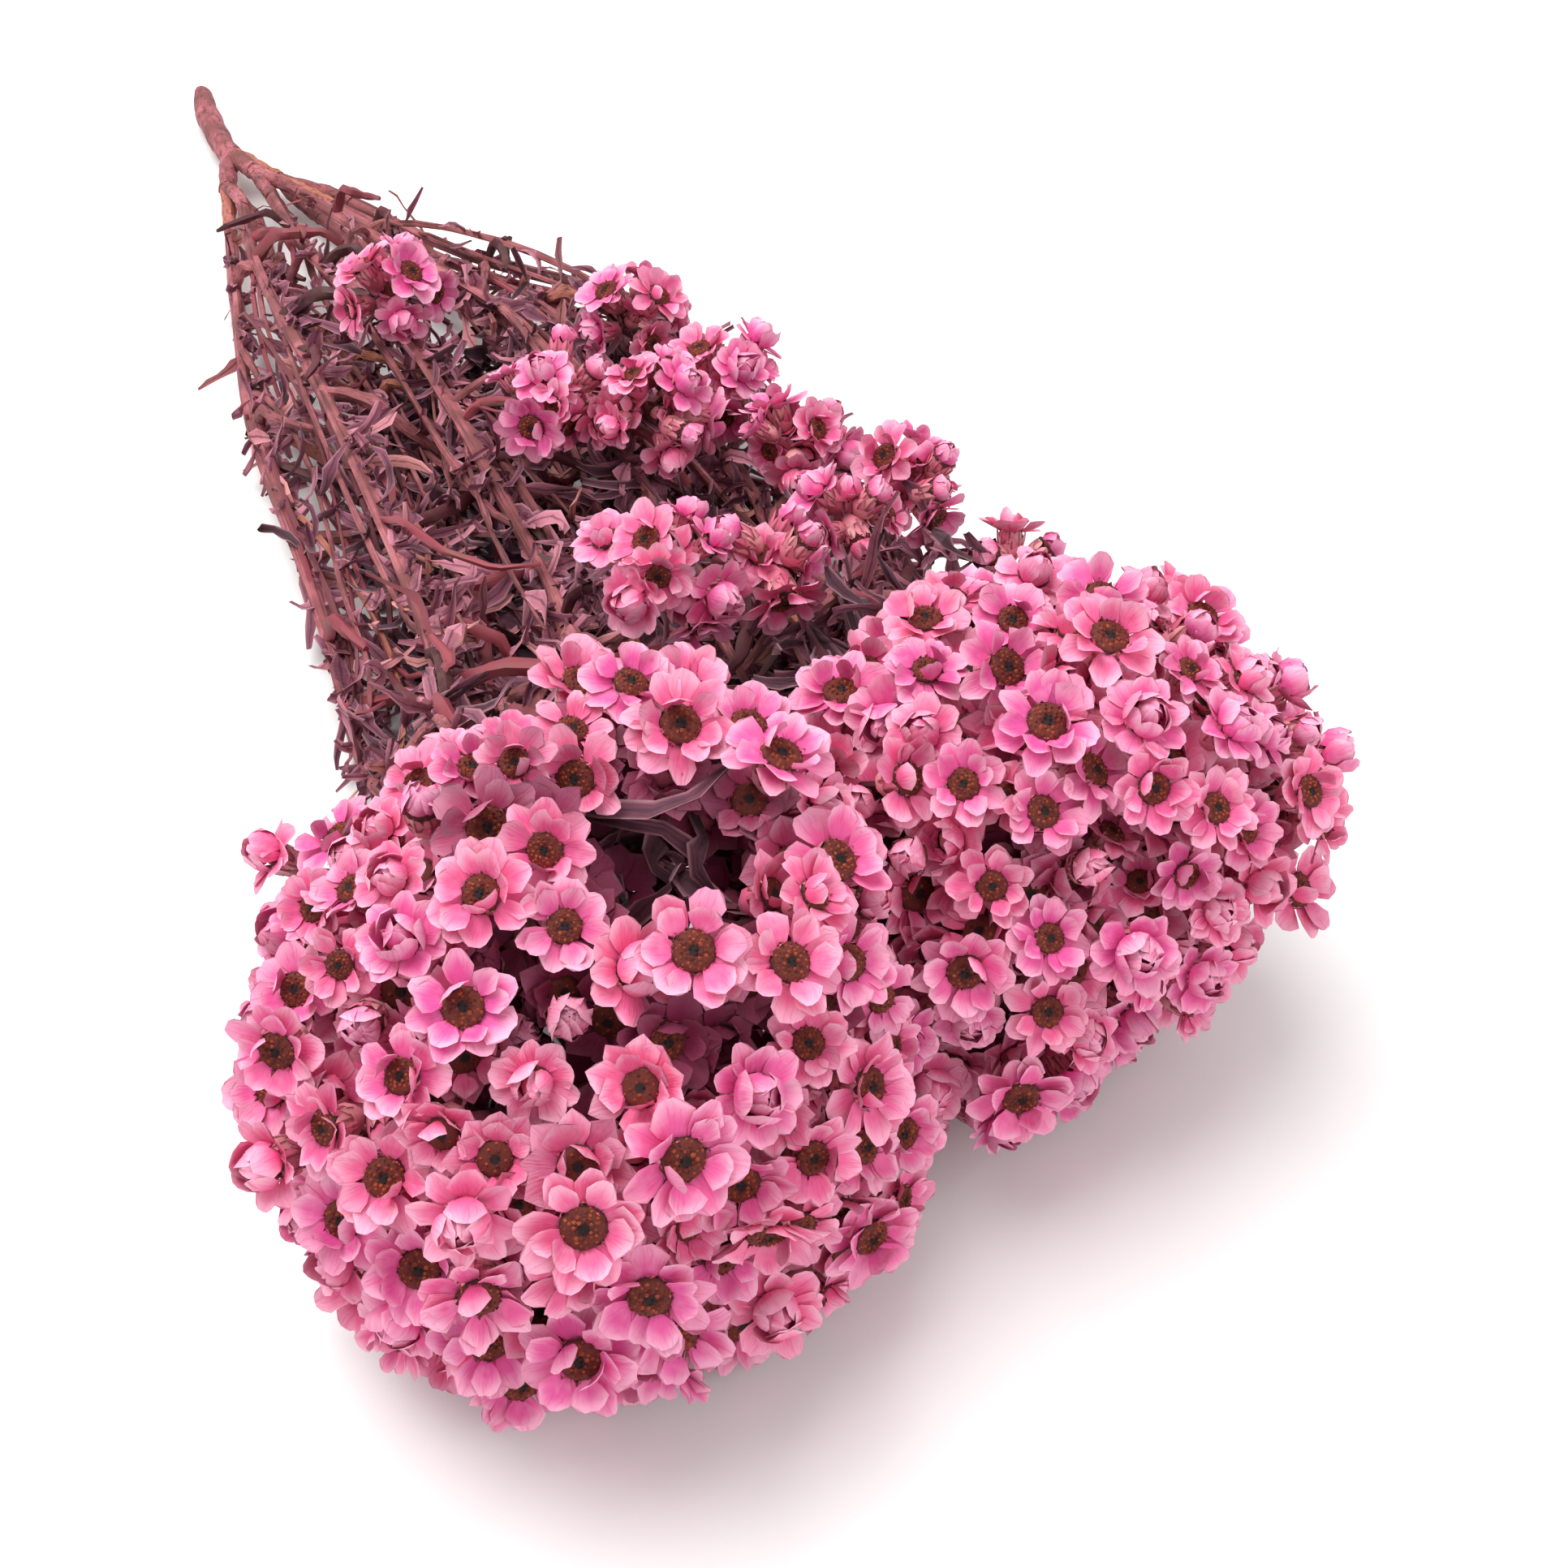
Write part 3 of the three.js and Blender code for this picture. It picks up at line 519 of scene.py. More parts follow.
def head_sprays(side):
    """The sprays of one big head: its blooms go to the spray that they are nearest to."""
    head = HEADS[side]
    axes = spray_axes(head)
    draw = draws(head.seed + 1)
    sprays = [
        SimpleNamespace(name=f"spray_{side}_{k + 1}", push=nudge(draw) * 2 * SPRAY_PUSH, blooms=[])
        for k in range(len(axes))
    ]
    for bloom in dome_blooms(head.facing, head.cap, head.places, head.seed):
        settle_bloom(bloom, head)
        if not stands_clear(bloom, side, HEAD_GAP):
            continue
        ray = unit(bloom.at - head.root)
        best = nearest_axis(ray, axes)
        push_bloom(bloom, angle_between(ray, axes[best]), sprays[best])
        bloom.at[2] = max(bloom.at[2], LOWEST_BLOOM)
        sprays[best].blooms.append(bloom)
    for at, up, choice in STRAYS[side]:
        best = nearest_axis(unit(at - head.root), axes)
        up = unit(np.array(up))
        stray = SimpleNamespace(at=at, up=up, out=up, spin=choice, pick=choice, closed=0, detail=0)
        sprays[best].blooms.append(stray)
    for spray in sprays:
        middle = sum(bloom.at for bloom in spray.blooms) / len(spray.blooms)
        ray = unit(middle - head.root)
        reach = np.linalg.norm(middle - head.root)
        spray.base = head.root + ray * SPRAY_BASE
        spray.start = ray
        spray.spine = np.array([spray.base, head.root + ray * (reach - SPRAY_TOP_DEPTH)])
        shares = np.linspace(0, 1, SPRAY_STEPS + 1)[:, None]
        spray.smooth = spray.spine[0] + shares * (spray.spine[1] - spray.spine[0])
        spray.blooms.sort(key=lambda bloom: angle_between(bloom.at - head.root, ray))
    return sprays


def side_spray(site, index, stems):
    """A small spray on a dome of its own, its stalk rising from a leafy stem."""
    centre, count, stem_index, reach, closed = site
    radius = math.sqrt(count * SIDE_AREA / (2 * math.pi * (1 - math.cos(SIDE_CAP))))
    spine = stems[stem_index].spine
    foot_y = centre[1] + reach
    above = max(i for i, point in enumerate(spine) if point[1] > foot_y)
    start, end = spine[above], spine[above + 1]
    foot = start + (end - start) * (foot_y - start[1]) / (end[1] - start[1])
    rise = unit(np.array([centre[0] - foot[0], 0, centre[2] - foot[2]]))
    base = foot + rise * (STEM_RADIUS + GAP)
    facing = unit(unit(centre - foot) + np.array([0, 0, SIDE_UP]))
    seed = SIDE_SEED + index
    dome = SimpleNamespace(
        centre=centre, facing=facing, radius=radius, cap=SIDE_CAP, seed=seed, turned=0, lean=0, flat=0
    )
    blooms = dome_blooms(facing, SIDE_CAP, count, seed)
    for bloom in blooms:
        settle_bloom(bloom, dome)
        bloom.closed = closed
    top = centre - facing * radius * SIDE_TOP
    straight = base + rise * SIDE_FOOT
    control = straight + rise * SIDE_RISE
    blooms.sort(key=lambda bloom: -float(bloom.out @ facing))
    return SimpleNamespace(
        name=f"side_spray_{index + 1}",
        blooms=blooms,
        dome=dome,
        base=base,
        start=rise,
        spine=np.vstack([base, bezier(straight, control, top, SIDE_STEPS)]),
        smooth=np.vstack([base, bezier(straight, control, top, SIDE_FINE_STEPS)]),
    )


def face_away(bloom):
    """Turns a bloom that would look back at its own stalk."""
    reach = unit(bloom.at - bloom.foot)
    facing = float(bloom.up @ reach)
    if facing < LEAST_FACING:
        bloom.up = unit(bloom.up + reach * (LEAST_FACING - facing + FACING_SPARE))


def plant_pedicels(spray):
    """Finds the foot of each bloom's stalk, from the spray's tip downwards."""
    length = length_of(spray.spine)
    step = min(PEDICEL_STEP, (length - PEDUNCLE_BARE) / len(spray.blooms))
    for j, bloom in enumerate(spray.blooms):
        bloom.foot = along(spray.spine, 1 - (j + PEDICEL_START) * step / length)
        face_away(bloom)


def kind_of(bloom):
    if bloom.pick < BUD_SHARE + bloom.closed * CLOSED_BUD_SHARE:
        return "bud"
    return "half" if bloom.pick < BUD_SHARE + HALF_SHARE + bloom.closed else "open"


def size_blooms(blooms):
    """Each bloom keeps to its own side of the plane midway to every neighbour."""
    places = np.array([bloom.at for bloom in blooms])
    dropped = np.zeros(len(blooms), bool)
    for i, bloom in enumerate(blooms):
        bloom.kind = kind_of(bloom)
        offsets = places - bloom.at
        gaps = np.linalg.norm(offsets, axis=1)
        near = (gaps <= NEIGHBOUR_REACH) & (gaps > 0) & ~dropped
        lifts = offsets[near] @ bloom.up / gaps[near]
        sideways = np.sqrt(np.maximum(1 - lifts**2, LEAST_SIDEWAYS))
        rooms = (gaps[near] / 2 - BLOOM_GAP - KIND_RISE[bloom.kind] * lifts) / sideways
        bloom.radius = min([KIND_TIP[bloom.kind], *rooms])
        if bloom.kind == "open" and bloom.radius < SMALLEST["open"]:
            bloom.kind = "half"
        if bloom.kind == "half" and bloom.radius < SMALLEST["half"]:
            bloom.kind = "bud"
        bloom.radius = min(bloom.radius, KIND_TIP[bloom.kind])
        bloom.dropped = bloom.radius < SMALLEST["bud"]
        dropped[i] = bloom.dropped


def lumpy(bloom, head, axes, sprays):
    """Moves a bloom in or out with its spray, and tells whether it stands between two sprays."""
    ray = unit(bloom.at - head.root)
    nearest = sorted((angle_between(ray, axis), k) for k, axis in enumerate(axes))
    angle, best = nearest[0]
    push_bloom(bloom, angle, sprays[best])
    return nearest[1][0] - angle < CREVICE


def fill_dome(sprays, dome, layers, others, place):
    """Blooms for the gaps of a dome, each grown from the foot of the bloom that it is nearest to."""
    own = [(bloom, spray) for spray in sprays for bloom in spray.blooms]
    places = np.array([bloom.at for bloom, spray in own])
    for layer, (depth, room, radius, count, detail) in enumerate(layers):
        seed = FILL_SEED + dome.seed * FILL_SEED_STEP + layer
        draw = draws(seed + FILL_SWAY_SEED)
        for bloom in dome_blooms(dome.facing, dome.cap, count, seed):
            settle_bloom(bloom, dome, depth)
            bloom.at = bloom.at + bloom.out * FILL_SWAY * nudge(draw)
            if not place(bloom, layer):
                continue
            bloom.at[2] = max(bloom.at[2], LOWEST_BLOOM)
            if np.linalg.norm(np.array(others) - bloom.at, axis=1).min() < room:
                continue
            nearest, spray = own[int(np.linalg.norm(places - bloom.at, axis=1).argmin())]
            bloom.kind = kind_of(bloom)
            bloom.radius = min(radius * part_way(FILL_SIZE, draw()), KIND_TIP[bloom.kind])
            bloom.up = unit(bloom.up + bloom.lean * FILL_LEAN)
            bloom.foot = nearest.foot
            bloom.detail = detail
            face_away(bloom)
            spray.fill.append(bloom)
            others.append(bloom.at)


def fill_sprays(sprays, side_sprays):
    """The blooms that close the gaps, kept apart from those of the solids."""
    every_spray = [*sprays["left"], *sprays["right"], *side_sprays]
    for spray in every_spray:
        spray.fill = []
    others = [bloom.at for spray in every_spray for bloom in spray.blooms]
    for side in ("left", "right"):
        head = HEADS[side]
        axes = spray_axes(head)

        def place(bloom, layer, side=side, head=head, axes=axes):
            between = lumpy(bloom, head, axes, sprays[side])
            return stands_clear(bloom, side, FILL_HEAD_GAP) and not (layer == 0 and between)

        fill_dome(sprays[side], head, HEAD_FILLS, others, place)
    for spray in side_sprays:
        fill_dome([spray], spray.dome, SIDE_FILLS, others, lambda bloom, layer: True)


def stem_curves(sprays):
    """The line of each stem through the bundle, then on to the point where its arms part."""
    stems = []
    for index, (side, height, head, feeds) in enumerate(STEMS):
        draw = draws(STEM_SEED + index * SEED_STEP)
        points = []
        for k, (y, middle, half, rise) in enumerate(BUNDLE):
            swing = 0 if k == 0 else WAVE
            x = middle + side * half + nudge(draw) * 2 * swing
            points.append(np.array([x, y, height * rise + nudge(draw) * swing]))
        fed = [sprays[head][key] for key in feeds]
        meeting = sum(spray.base for spray in fed) / len(fed)
        points.append(points[-1] + (meeting - points[-1]) * ARM_REACH)
        spine = flowing(points, STEM_STEPS)
        spine[0] += unit(spine[1] - spine[0]) * GAP
        smooth = flowing(points, STEM_STEPS * STEM_FINENESS)
        smooth[0] = spine[0]
        stems.append(SimpleNamespace(name=f"leafy_stem_{index + 1}", spine=spine, smooth=smooth, fed=fed))
    return stems


def stem_arms(stem, steps):
    """The lines from a stem's end to the sprays that it feeds."""
    end = stem.spine[STEM_STEPS]
    arms = []
    for spray in stem.fed:
        tip = spray.base - spray.start * GAP
        straight = tip - spray.start * ARM_TIP
        control = tip - spray.start * ARM_BEND
        arms.append(np.vstack([bezier(end, control, straight, steps), tip]))
    return arms


class Taken:
    """The room that is already filled, as small balls, each with the piece that fills it."""

    def __init__(self):
        self.at = []
        self.radius = []
        self.owner = []

    def spot(self, at, radius, owner):
        self.at.append(at)
        self.radius.append(radius)
        self.owner.append(owner)

    def line(self, spine, radius, owner, spacing):
        count = max(math.ceil(length_of(spine) / spacing), 1)
        for i in range(count + 1):
            self.spot(along(spine, i / count), radius, owner)

    def spray(self, spray):
        self.line(spray.spine, PEDUNCLE_RADIUS, spray.name, SPACING)
        for bloom in spray.blooms:
            neck = bloom.at - bloom.up * CUP_LENGTH
            self.line(np.array([bloom.foot, neck]), PEDICEL_RADIUS, spray.name, SPACING)
            self.spot(bloom.at, bloom.radius, spray.name)
            self.spot(neck + (bloom.at - neck) * CUP_BALL, CUP_RADIUS, spray.name)

    def clear(self, curve, owner):
        """Whether a leaf's curve keeps off the table and off what the other pieces fill."""
        points = bezier(*curve, CLEARANCE_CHECKS)
        if (points[:, 2] < LEAF_FLOOR).any():
            return False
        others = np.array([name != owner for name in self.owner])
        places = np.array(self.at)[others]
        need = np.array(self.radius)[others] + LEAF_CLEARANCE
        gaps = ((points[:, None] - places[None]) ** 2).sum(axis=2)
        return not (gaps < need**2).any()


def leaf_curve(root, tangent, draw, length):
    """A leaf's root, middle and tip: it opens from its stem, curls and twists a little."""
    u, v = across(tangent)
    around = draw() * 2 * math.pi
    side = u * math.cos(around) + v * math.sin(around)
    opening = LEAF_OPEN[0] + draw() * LEAF_OPEN[1]
    curl = opening + (draw() - LEAF_CURL[0]) * LEAF_CURL[1]
    twist = nudge(draw) * LEAF_TWIST
    half = length * 0.5
    middle = root + tangent * math.cos(opening) * half + side * math.sin(opening) * half
    tip = middle + tangent * math.cos(curl) * half + side * math.sin(curl) * half
    tip = tip + np.cross(tangent, side) * twist * half
    return root, middle, tip


def grow_leaf(name, spine, t, draw, taken, length):
    """One leaf in a list, or an empty list where no try finds room for it."""
    root = along(spine, t)
    tangent = heading(spine, t)
    for i in range(LEAF_TRIES):
        curve = leaf_curve(root, tangent, draw, length * (1 - LEAF_SHRINK * i))
        if taken.clear(curve, name):
            taken.line(bezier(*curve, LEAF_STEPS), LEAF_ROOM, name, WIDE_SPACING)
            return [curve]
    return []


def stem_leaves(index, stem, taken):
    start, span, jitter = LEAF_SPAN
    seeds = draws(LEAF_SEED + index * SEED_STEP)
    leaves = []
    for k in range(LEAVES_PER_STEM):
        draw = branch_draws(seeds)
        t = start + span * (k + draw() * jitter) / LEAVES_PER_STEM
        length = part_way(LEAF_LENGTH, draw())
        leaves += grow_leaf(stem.name, stem.spine, t, draw, taken, length)
    return leaves


def hollow_leaves(stem, arm, taken):
    """The leaves that stand in the left head's hollow."""
    start, step = HOLLOW_SPAN
    seeds = draws(HOLLOW_SEED)
    leaves = []
    for k in range(HOLLOW_LEAVES):
        draw = branch_draws(seeds)
        leaves += grow_leaf(stem.name, arm, start + step * k, draw, taken, HOLLOW_LENGTH)
    return leaves


@cache
def bunch():
    """The whole bunch as lines and places: stems, arms, sprays with their blooms, and leaves."""
    sprays = {side: head_sprays(side) for side in ("left", "right")}
    stems = stem_curves(sprays)
    side_sprays = [side_spray(site, index, stems) for index, site in enumerate(SIDE_SPRAYS)]
    every_spray = [*sprays["left"], *sprays["right"], *side_sprays]
    for spray in every_spray:
        plant_pedicels(spray)
    size_blooms([bloom for spray in every_spray for bloom in spray.blooms])
    taken = Taken()
    for spray in every_spray:
        spray.blooms = [bloom for bloom in spray.blooms if not bloom.dropped]
        taken.spray(spray)
    for stem in stems:
        arms = stem_arms(stem, ARM_STEPS)
        taken.line(stem.spine, STEM_RADIUS, stem.name, WIDE_SPACING)
        for arm in arms:
            taken.line(arm, ARM_RADIUS, stem.name, SPACING)
        stem.arms = arms
        stem.smooth_arms = stem_arms(stem, ARM_FINE_STEPS)
    for index, stem in enumerate(stems):
        stem.leaves = stem_leaves(index, stem, taken)
        stem.hollow_from = len(stem.leaves)
        if index == HOLLOW_STEM:
            stem.leaves += hollow_leaves(stem, stem.arms[0], taken)
    fill_sprays(sprays, side_sprays)
    heads = [*sprays["left"], *sprays["right"]]
    return SimpleNamespace(stems=stems, heads=heads, side_sprays=side_sprays)


# Modelling the shapes that are copied.

# How sharply a blade's margins roll, its middle sinks, its tip notches, and its tip's rounding sets in.
ROLL_POWER = 3
GROOVE_POWER = 2
NOTCH_POWER = 4
TIP_POWER = 3
# Points nearer to each other than this are joined.
JOIN = 1e-7

# Petals: share of the set width, each row's share of it, how far the tip is rounded and notched, groove.
PETALS = (
    (1, (0.3, 0.8, 1.06, 0.68), 0.13, 0, mm(0.08)),
    (1, (0.28, 0.76, 1.08, 0.74), 0.13, 0.05, mm(0.16)),
    (0.9, (0.32, 0.82, 1.04, 0.62), 0.12, 0.01, 0),
)
PETAL_COLUMNS = 4
DEEP_PETAL = (0.3, 0.86, 1.06, 0.62)
DEEP_PETAL_TIP = 0.2
DEEP_PETAL_COLUMNS = 2
# The eye's cushion: its rise for a radius of 1, where it is cut off, and its sunk middle.
EYE_RISE = 0.36
DOME_CUT = -0.1
DOME_MIDDLE = 0.42
DOME_SINK = 0.1
# The cup, of radius 1: below this height it narrows to this share.
CUP_TAPER_FROM = -0.4
CUP_TAPER = 0.8
FLORET_HEIGHT = 1.6
# Faces that meet at less than this angle look as one.
SMOOTH_ANGLE = math.radians(48)


def start_shape(add, **settings):
    """Adds a primitive with nothing else selected and opens it in edit mode."""
    bpy.ops.object.select_all(action="DESELECT")
    add(**settings)
    bpy.ops.object.mode_set(mode="EDIT")
    return bpy.context.object


def pick(shape, test):
    """Selects the points of the shape whose number in the mesh passes the test."""
    bpy.ops.mesh.select_all(action="DESELECT")
    bpy.ops.object.mode_set(mode="OBJECT")
    for vertex in shape.data.vertices:
        vertex.select = test(vertex.index)
    bpy.ops.object.mode_set(mode="EDIT")


class Shape:
    """A modelled shape as arrays, to be copied: its points, faces and map."""

    def __init__(self, shape):
        if shape.mode != "OBJECT":
            bpy.ops.object.mode_set(mode="OBJECT")
        mesh = shape.data
        self.points = np.empty(len(mesh.vertices) * 3)
        mesh.vertices.foreach_get("co", self.points)
        self.points = self.points.reshape(-1, 3)
        self.corners = np.empty(len(mesh.loops), int)
        mesh.loops.foreach_get("vertex_index", self.corners)
        self.sizes = np.empty(len(mesh.polygons), int)
        mesh.polygons.foreach_get("loop_total", self.sizes)
        self.map = np.empty(len(mesh.loops) * 2)
        mesh.uv_layers.active.data.foreach_get("uv", self.map)
        self.map = self.map.reshape(-1, 2)
        bpy.data.objects.remove(shape)
        bpy.data.meshes.remove(mesh)


def blade_shape(width, length, outline, columns, thickness, tip_round=0.0, roll=0.0, groove=0.0, notch=0.0):
    """A blade that lies flat with its root at the origin, thin at its edge: each row as wide as its share."""
    rows = len(outline) - 1
    per_row = columns + 1
    face = per_row * (rows + 1)
    blade = start_shape(bpy.ops.mesh.primitive_grid_add, x_subdivisions=columns, y_subdivisions=rows, size=1)
    for row, share in enumerate(outline):
        pick(blade, lambda i, row=row: i // per_row == row)
        bpy.ops.transform.resize(value=(share * width, length, 1), center_override=(0, -0.5, 0))
    bpy.ops.mesh.select_all(action="SELECT")
    bpy.ops.transform.translate(value=(0, 0.5, 0))
    for column in range(per_row):
        place = abs(2 * column / columns - 1)
        pick(blade, lambda i, column=column: i % per_row == column)
        sink = roll * place**ROLL_POWER + groove * (1 - place) ** GROOVE_POWER
        bpy.ops.transform.translate(value=(0, 0, -sink))
        for row in range(rows // 2, rows + 1):
            pull = tip_round * place**ROLL_POWER + notch * (1 - place) ** NOTCH_POWER
            pick(blade, lambda i, n=row * per_row + column: i == n)
            bpy.ops.transform.translate(value=(0, -pull * length * (row / rows) ** TIP_POWER, 0))
    bpy.ops.mesh.select_all(action="SELECT")
    bpy.ops.mesh.duplicate()
    bpy.ops.mesh.flip_normals()

    def inner_back(i):
        row, column = divmod(i - face, per_row)
        return i >= face and 0 < row < rows and 0 < column < columns

    pick(blade, inner_back)
    bpy.ops.transform.translate(value=(0, 0, -thickness))
    bpy.ops.mesh.select_all(action="SELECT")
    bpy.ops.mesh.remove_doubles(threshold=JOIN)
    return Shape(blade)


@cache
def stick_shape(sides, rings):
    """A round stick of radius 1 from 0 to 1 along y, ringed so that it can be bent."""
    stick = start_shape(
        bpy.ops.mesh.primitive_cylinder_add,
        vertices=sides,
        radius=1,
        depth=1,
        location=(0, 0.5, 0),
        rotation=(-math.pi / 2, 0, 0),
    )
    for ring in range(1, rings):
        bpy.ops.mesh.select_all(action="SELECT")
        bpy.ops.mesh.bisect(plane_co=(0, ring / rings, 0), plane_no=(0, 1, 0))
    bpy.ops.object.mode_set(mode="OBJECT")
    bpy.ops.object.transform_apply()
    return Shape(stick)


@cache
def floret_shape():
    """One floret of the eye: a small pointed knob."""
    add = bpy.ops.mesh.primitive_cone_add
    knob = start_shape(add, vertices=5, radius1=1, radius2=0, depth=FLORET_HEIGHT, end_fill_type="NOTHING")
    return Shape(knob)


@cache
def dome_shape():
    """The cushion that the florets of an eye stand on, sunk in its middle."""
    dome = start_shape(bpy.ops.mesh.primitive_uv_sphere_add, segments=12, ring_count=8, radius=1)
    bpy.ops.mesh.select_all(action="SELECT")
    bpy.ops.mesh.bisect(plane_co=(0, 0, DOME_CUT), plane_no=(0, 0, 1), clear_inner=True)
    bpy.ops.mesh.select_all(action="SELECT")
    bpy.ops.transform.resize(value=(1, 1, EYE_RISE), center_override=(0, 0, 0))
    pick(dome, lambda i: dome.data.vertices[i].co.xy.length < DOME_MIDDLE)
    bpy.ops.transform.translate(value=(0, 0, -DOME_SINK))
    return Shape(dome)


@cache
def cup_shape():
    """The cup under the petals: an egg with its point down."""
    cup = start_shape(bpy.ops.mesh.primitive_uv_sphere_add, segments=8, ring_count=5, radius=1)
    pick(cup, lambda i: cup.data.vertices[i].co.z < CUP_TAPER_FROM)
    bpy.ops.transform.resize(value=(CUP_TAPER, CUP_TAPER, 1), center_override=(0, 0, 0))
    return Shape(cup)


@cache
def petal_shapes():
    """Three outlines of petal: round, notched at its tip, and slim."""
    blooms = bpy.context.scene.ixodia_blooms
    width, length, wall = blooms.petal_width, blooms.petal_length, blooms.petal_thickness
    return [
        blade_shape(width * share, length, outline, PETAL_COLUMNS, wall, tip, groove=groove, notch=notch)
        for share, outline, tip, notch, groove in PETALS
    ]


@cache
def deep_petal_shapes():
    """One petal with few faces in place of the three, for the blooms deep inside a head."""
    blooms = bpy.context.scene.ixodia_blooms
    width, length, wall = blooms.petal_width, blooms.petal_length, blooms.petal_thickness
    petal = blade_shape(width, length, DEEP_PETAL, DEEP_PETAL_COLUMNS, wall, DEEP_PETAL_TIP)
    return [petal] * len(PETALS)


@cache
def scale_shape():
    """A pointed scale of the cup."""
    return blade_shape(
        width=mm(1.7),
        length=mm(2.7),
        outline=(0.6, 1, 0.8, 0.2),
        columns=2,
        thickness=mm(0.1),
        tip_round=0.1,
        groove=mm(0.1),
    )


@cache
def leaf_shape():
    """A broad dried leaf: its margins rolled under and its middle sunk to a groove."""
    return blade_shape(
        width=mm(2),
        length=1,
        outline=(0.55, 0.9, 1, 0.98, 0.92, 0.78, 0.42),
        columns=4,
        thickness=mm(0.24),
        roll=mm(0.6),
        groove=mm(0.3),
    )


@cache
def curly_shape():
    """A narrow dried leaf folded along its middle, with few faces."""
    return blade_shape(
        width=mm(2.1),
        length=1,
        outline=(0.5, 0.9, 0.94, 1, 0.84, 0.8, 0.44),
        columns=2,
        thickness=mm(0.24),
        roll=mm(0.62),
    )


@cache
def shred_shape():
    """A shrivelled scrap of leaf with few faces."""
    return blade_shape(
        width=mm(1.7),
        length=1,
        outline=(0.5, 1, 0.8, 1, 0.55),
        columns=2,
        thickness=mm(0.2),
        roll=mm(0.4),
    )


# Copying the shapes.

# Waves start at a draw times this many radians. A leaf is spun by a draw times a full turn.
PHASE = 6
FULL_TURN = 6.3
# Waves that keep a stick from being round: how many round it, and radians along it.
KNOB_WAVES = ((3, 9), (2, -23))
# Waves of a crinkled leaf, in radians along it, how far they widen it and how far they lift its tip.
CRINKLE_WAVES = (13, 7)
CRINKLE_SPREAD = 0.24
CRINKLE_LIFT = mm(0.36)
# A leaf's width by how far it is curled, and the sum of its shares of width and of height.
LEAF_WIDTHS = (0.7, 1.3)
WIDTH_AND_HEIGHT = 1.7
# A broad leaf's kink: steps of its line, and how far it goes for the leaf's length.
WAVY_STEPS = 14
KINK = 0.16
# A curly leaf's line: pull of the bundle's middle, opening from the stem, turn of its axis, share of
# leaves that curl back, how the curl grows from root to tip, and how the axis drifts.
CURLY_LEAN = mm(14)
CURLY_OPENING = (0.15, 1.2)
CURLY_OPENING_POWER = 1.3
CURLY_AXIS_SWAY = 1.2
CURLS_BACK = 0.35
CURL_GROWTH = (0.3, 1.7)
AXIS_DRIFT = 0.5
# The least bend of a blade, so that its arc has a radius, and what keeps a division from being by nought.
LEAST_BEND = 0.02
TINY = 1e-5
# The wave across a petal: radians from its middle to its edge, and its start by the petal's place.
PETAL_WAVE = 2.6
WAVE_START = 7


class Clump:
    """Copies of modelled shapes, gathered into one piece."""

    def __init__(self):
        self.points = []
        self.corners = []
        self.sizes = []
        self.map = []
        self.finish = []
        self.tone = []
        self.blend = []
        self.count = 0

    def add(self, shape, points, finish, tone, blend=0.5):
        """One copy of the shape with its points moved. Tone and blend are numbers that its colour reads."""
        self.points.append(points)
        self.corners.append(shape.corners + self.count)
        self.sizes.append(shape.sizes)
        self.map.append(shape.map)
        self.finish.append(np.full(len(shape.sizes), finish))
        self.tone.append(np.full(len(points), tone))
        self.blend.append(np.broadcast_to(blend, len(points)))
        self.count += len(points)

    def build(self, name, finishes):
        """The copies as one object, with the finishes that they name by number."""
        points = np.concatenate(self.points) + SHIFT
        points[:, 2] = np.maximum(points[:, 2], TABLE_TOP)
        corners = np.concatenate(self.corners)
        sizes = np.concatenate(self.sizes)
        mesh = bpy.data.meshes.new(name)
        mesh.vertices.add(len(points))
        mesh.vertices.foreach_set("co", points.ravel())
        mesh.loops.add(len(corners))
        mesh.loops.foreach_set("vertex_index", corners)
        mesh.polygons.add(len(sizes))
        mesh.polygons.foreach_set("loop_start", np.concatenate([[0], np.cumsum(sizes)[:-1]]))
        for finish in finishes:
            mesh.materials.append(finish)
        mesh.polygons.foreach_set("material_index", np.concatenate(self.finish))
        layer = mesh.uv_layers.new(name="UVMap")
        layer.data.foreach_set("uv", np.concatenate(self.map).ravel())
        for label, values in (("tone", self.tone), ("blend", self.blend)):
            attribute = mesh.attributes.new(label, "FLOAT", "POINT")
            attribute.data.foreach_set("value", np.concatenate(values))
        mesh.update(calc_edges=True)
        mesh.validate()
        piece = bpy.data.objects.new(name, mesh)
        bpy.context.scene.collection.objects.link(piece)
        bpy.ops.object.select_all(action="DESELECT")
        piece.select_set(True)
        bpy.context.view_layer.objects.active = piece
        bpy.ops.object.shade_smooth_by_angle(angle=SMOOTH_ANGLE)
        return piece


def carried_frames(line):
    """Two directions across a line at each of its points, carried along without twisting."""
    tangents = np.gradient(line, axis=0)
    tangents /= np.linalg.norm(tangents, axis=1)[:, None]
    u = across(tangents[0])[0]
    sides = []
    for tangent in tangents:
        u = unit(u - tangent * (u @ tangent))
        sides.append(u)
    sides = np.array(sides)
    return sides, np.cross(tangents, sides)


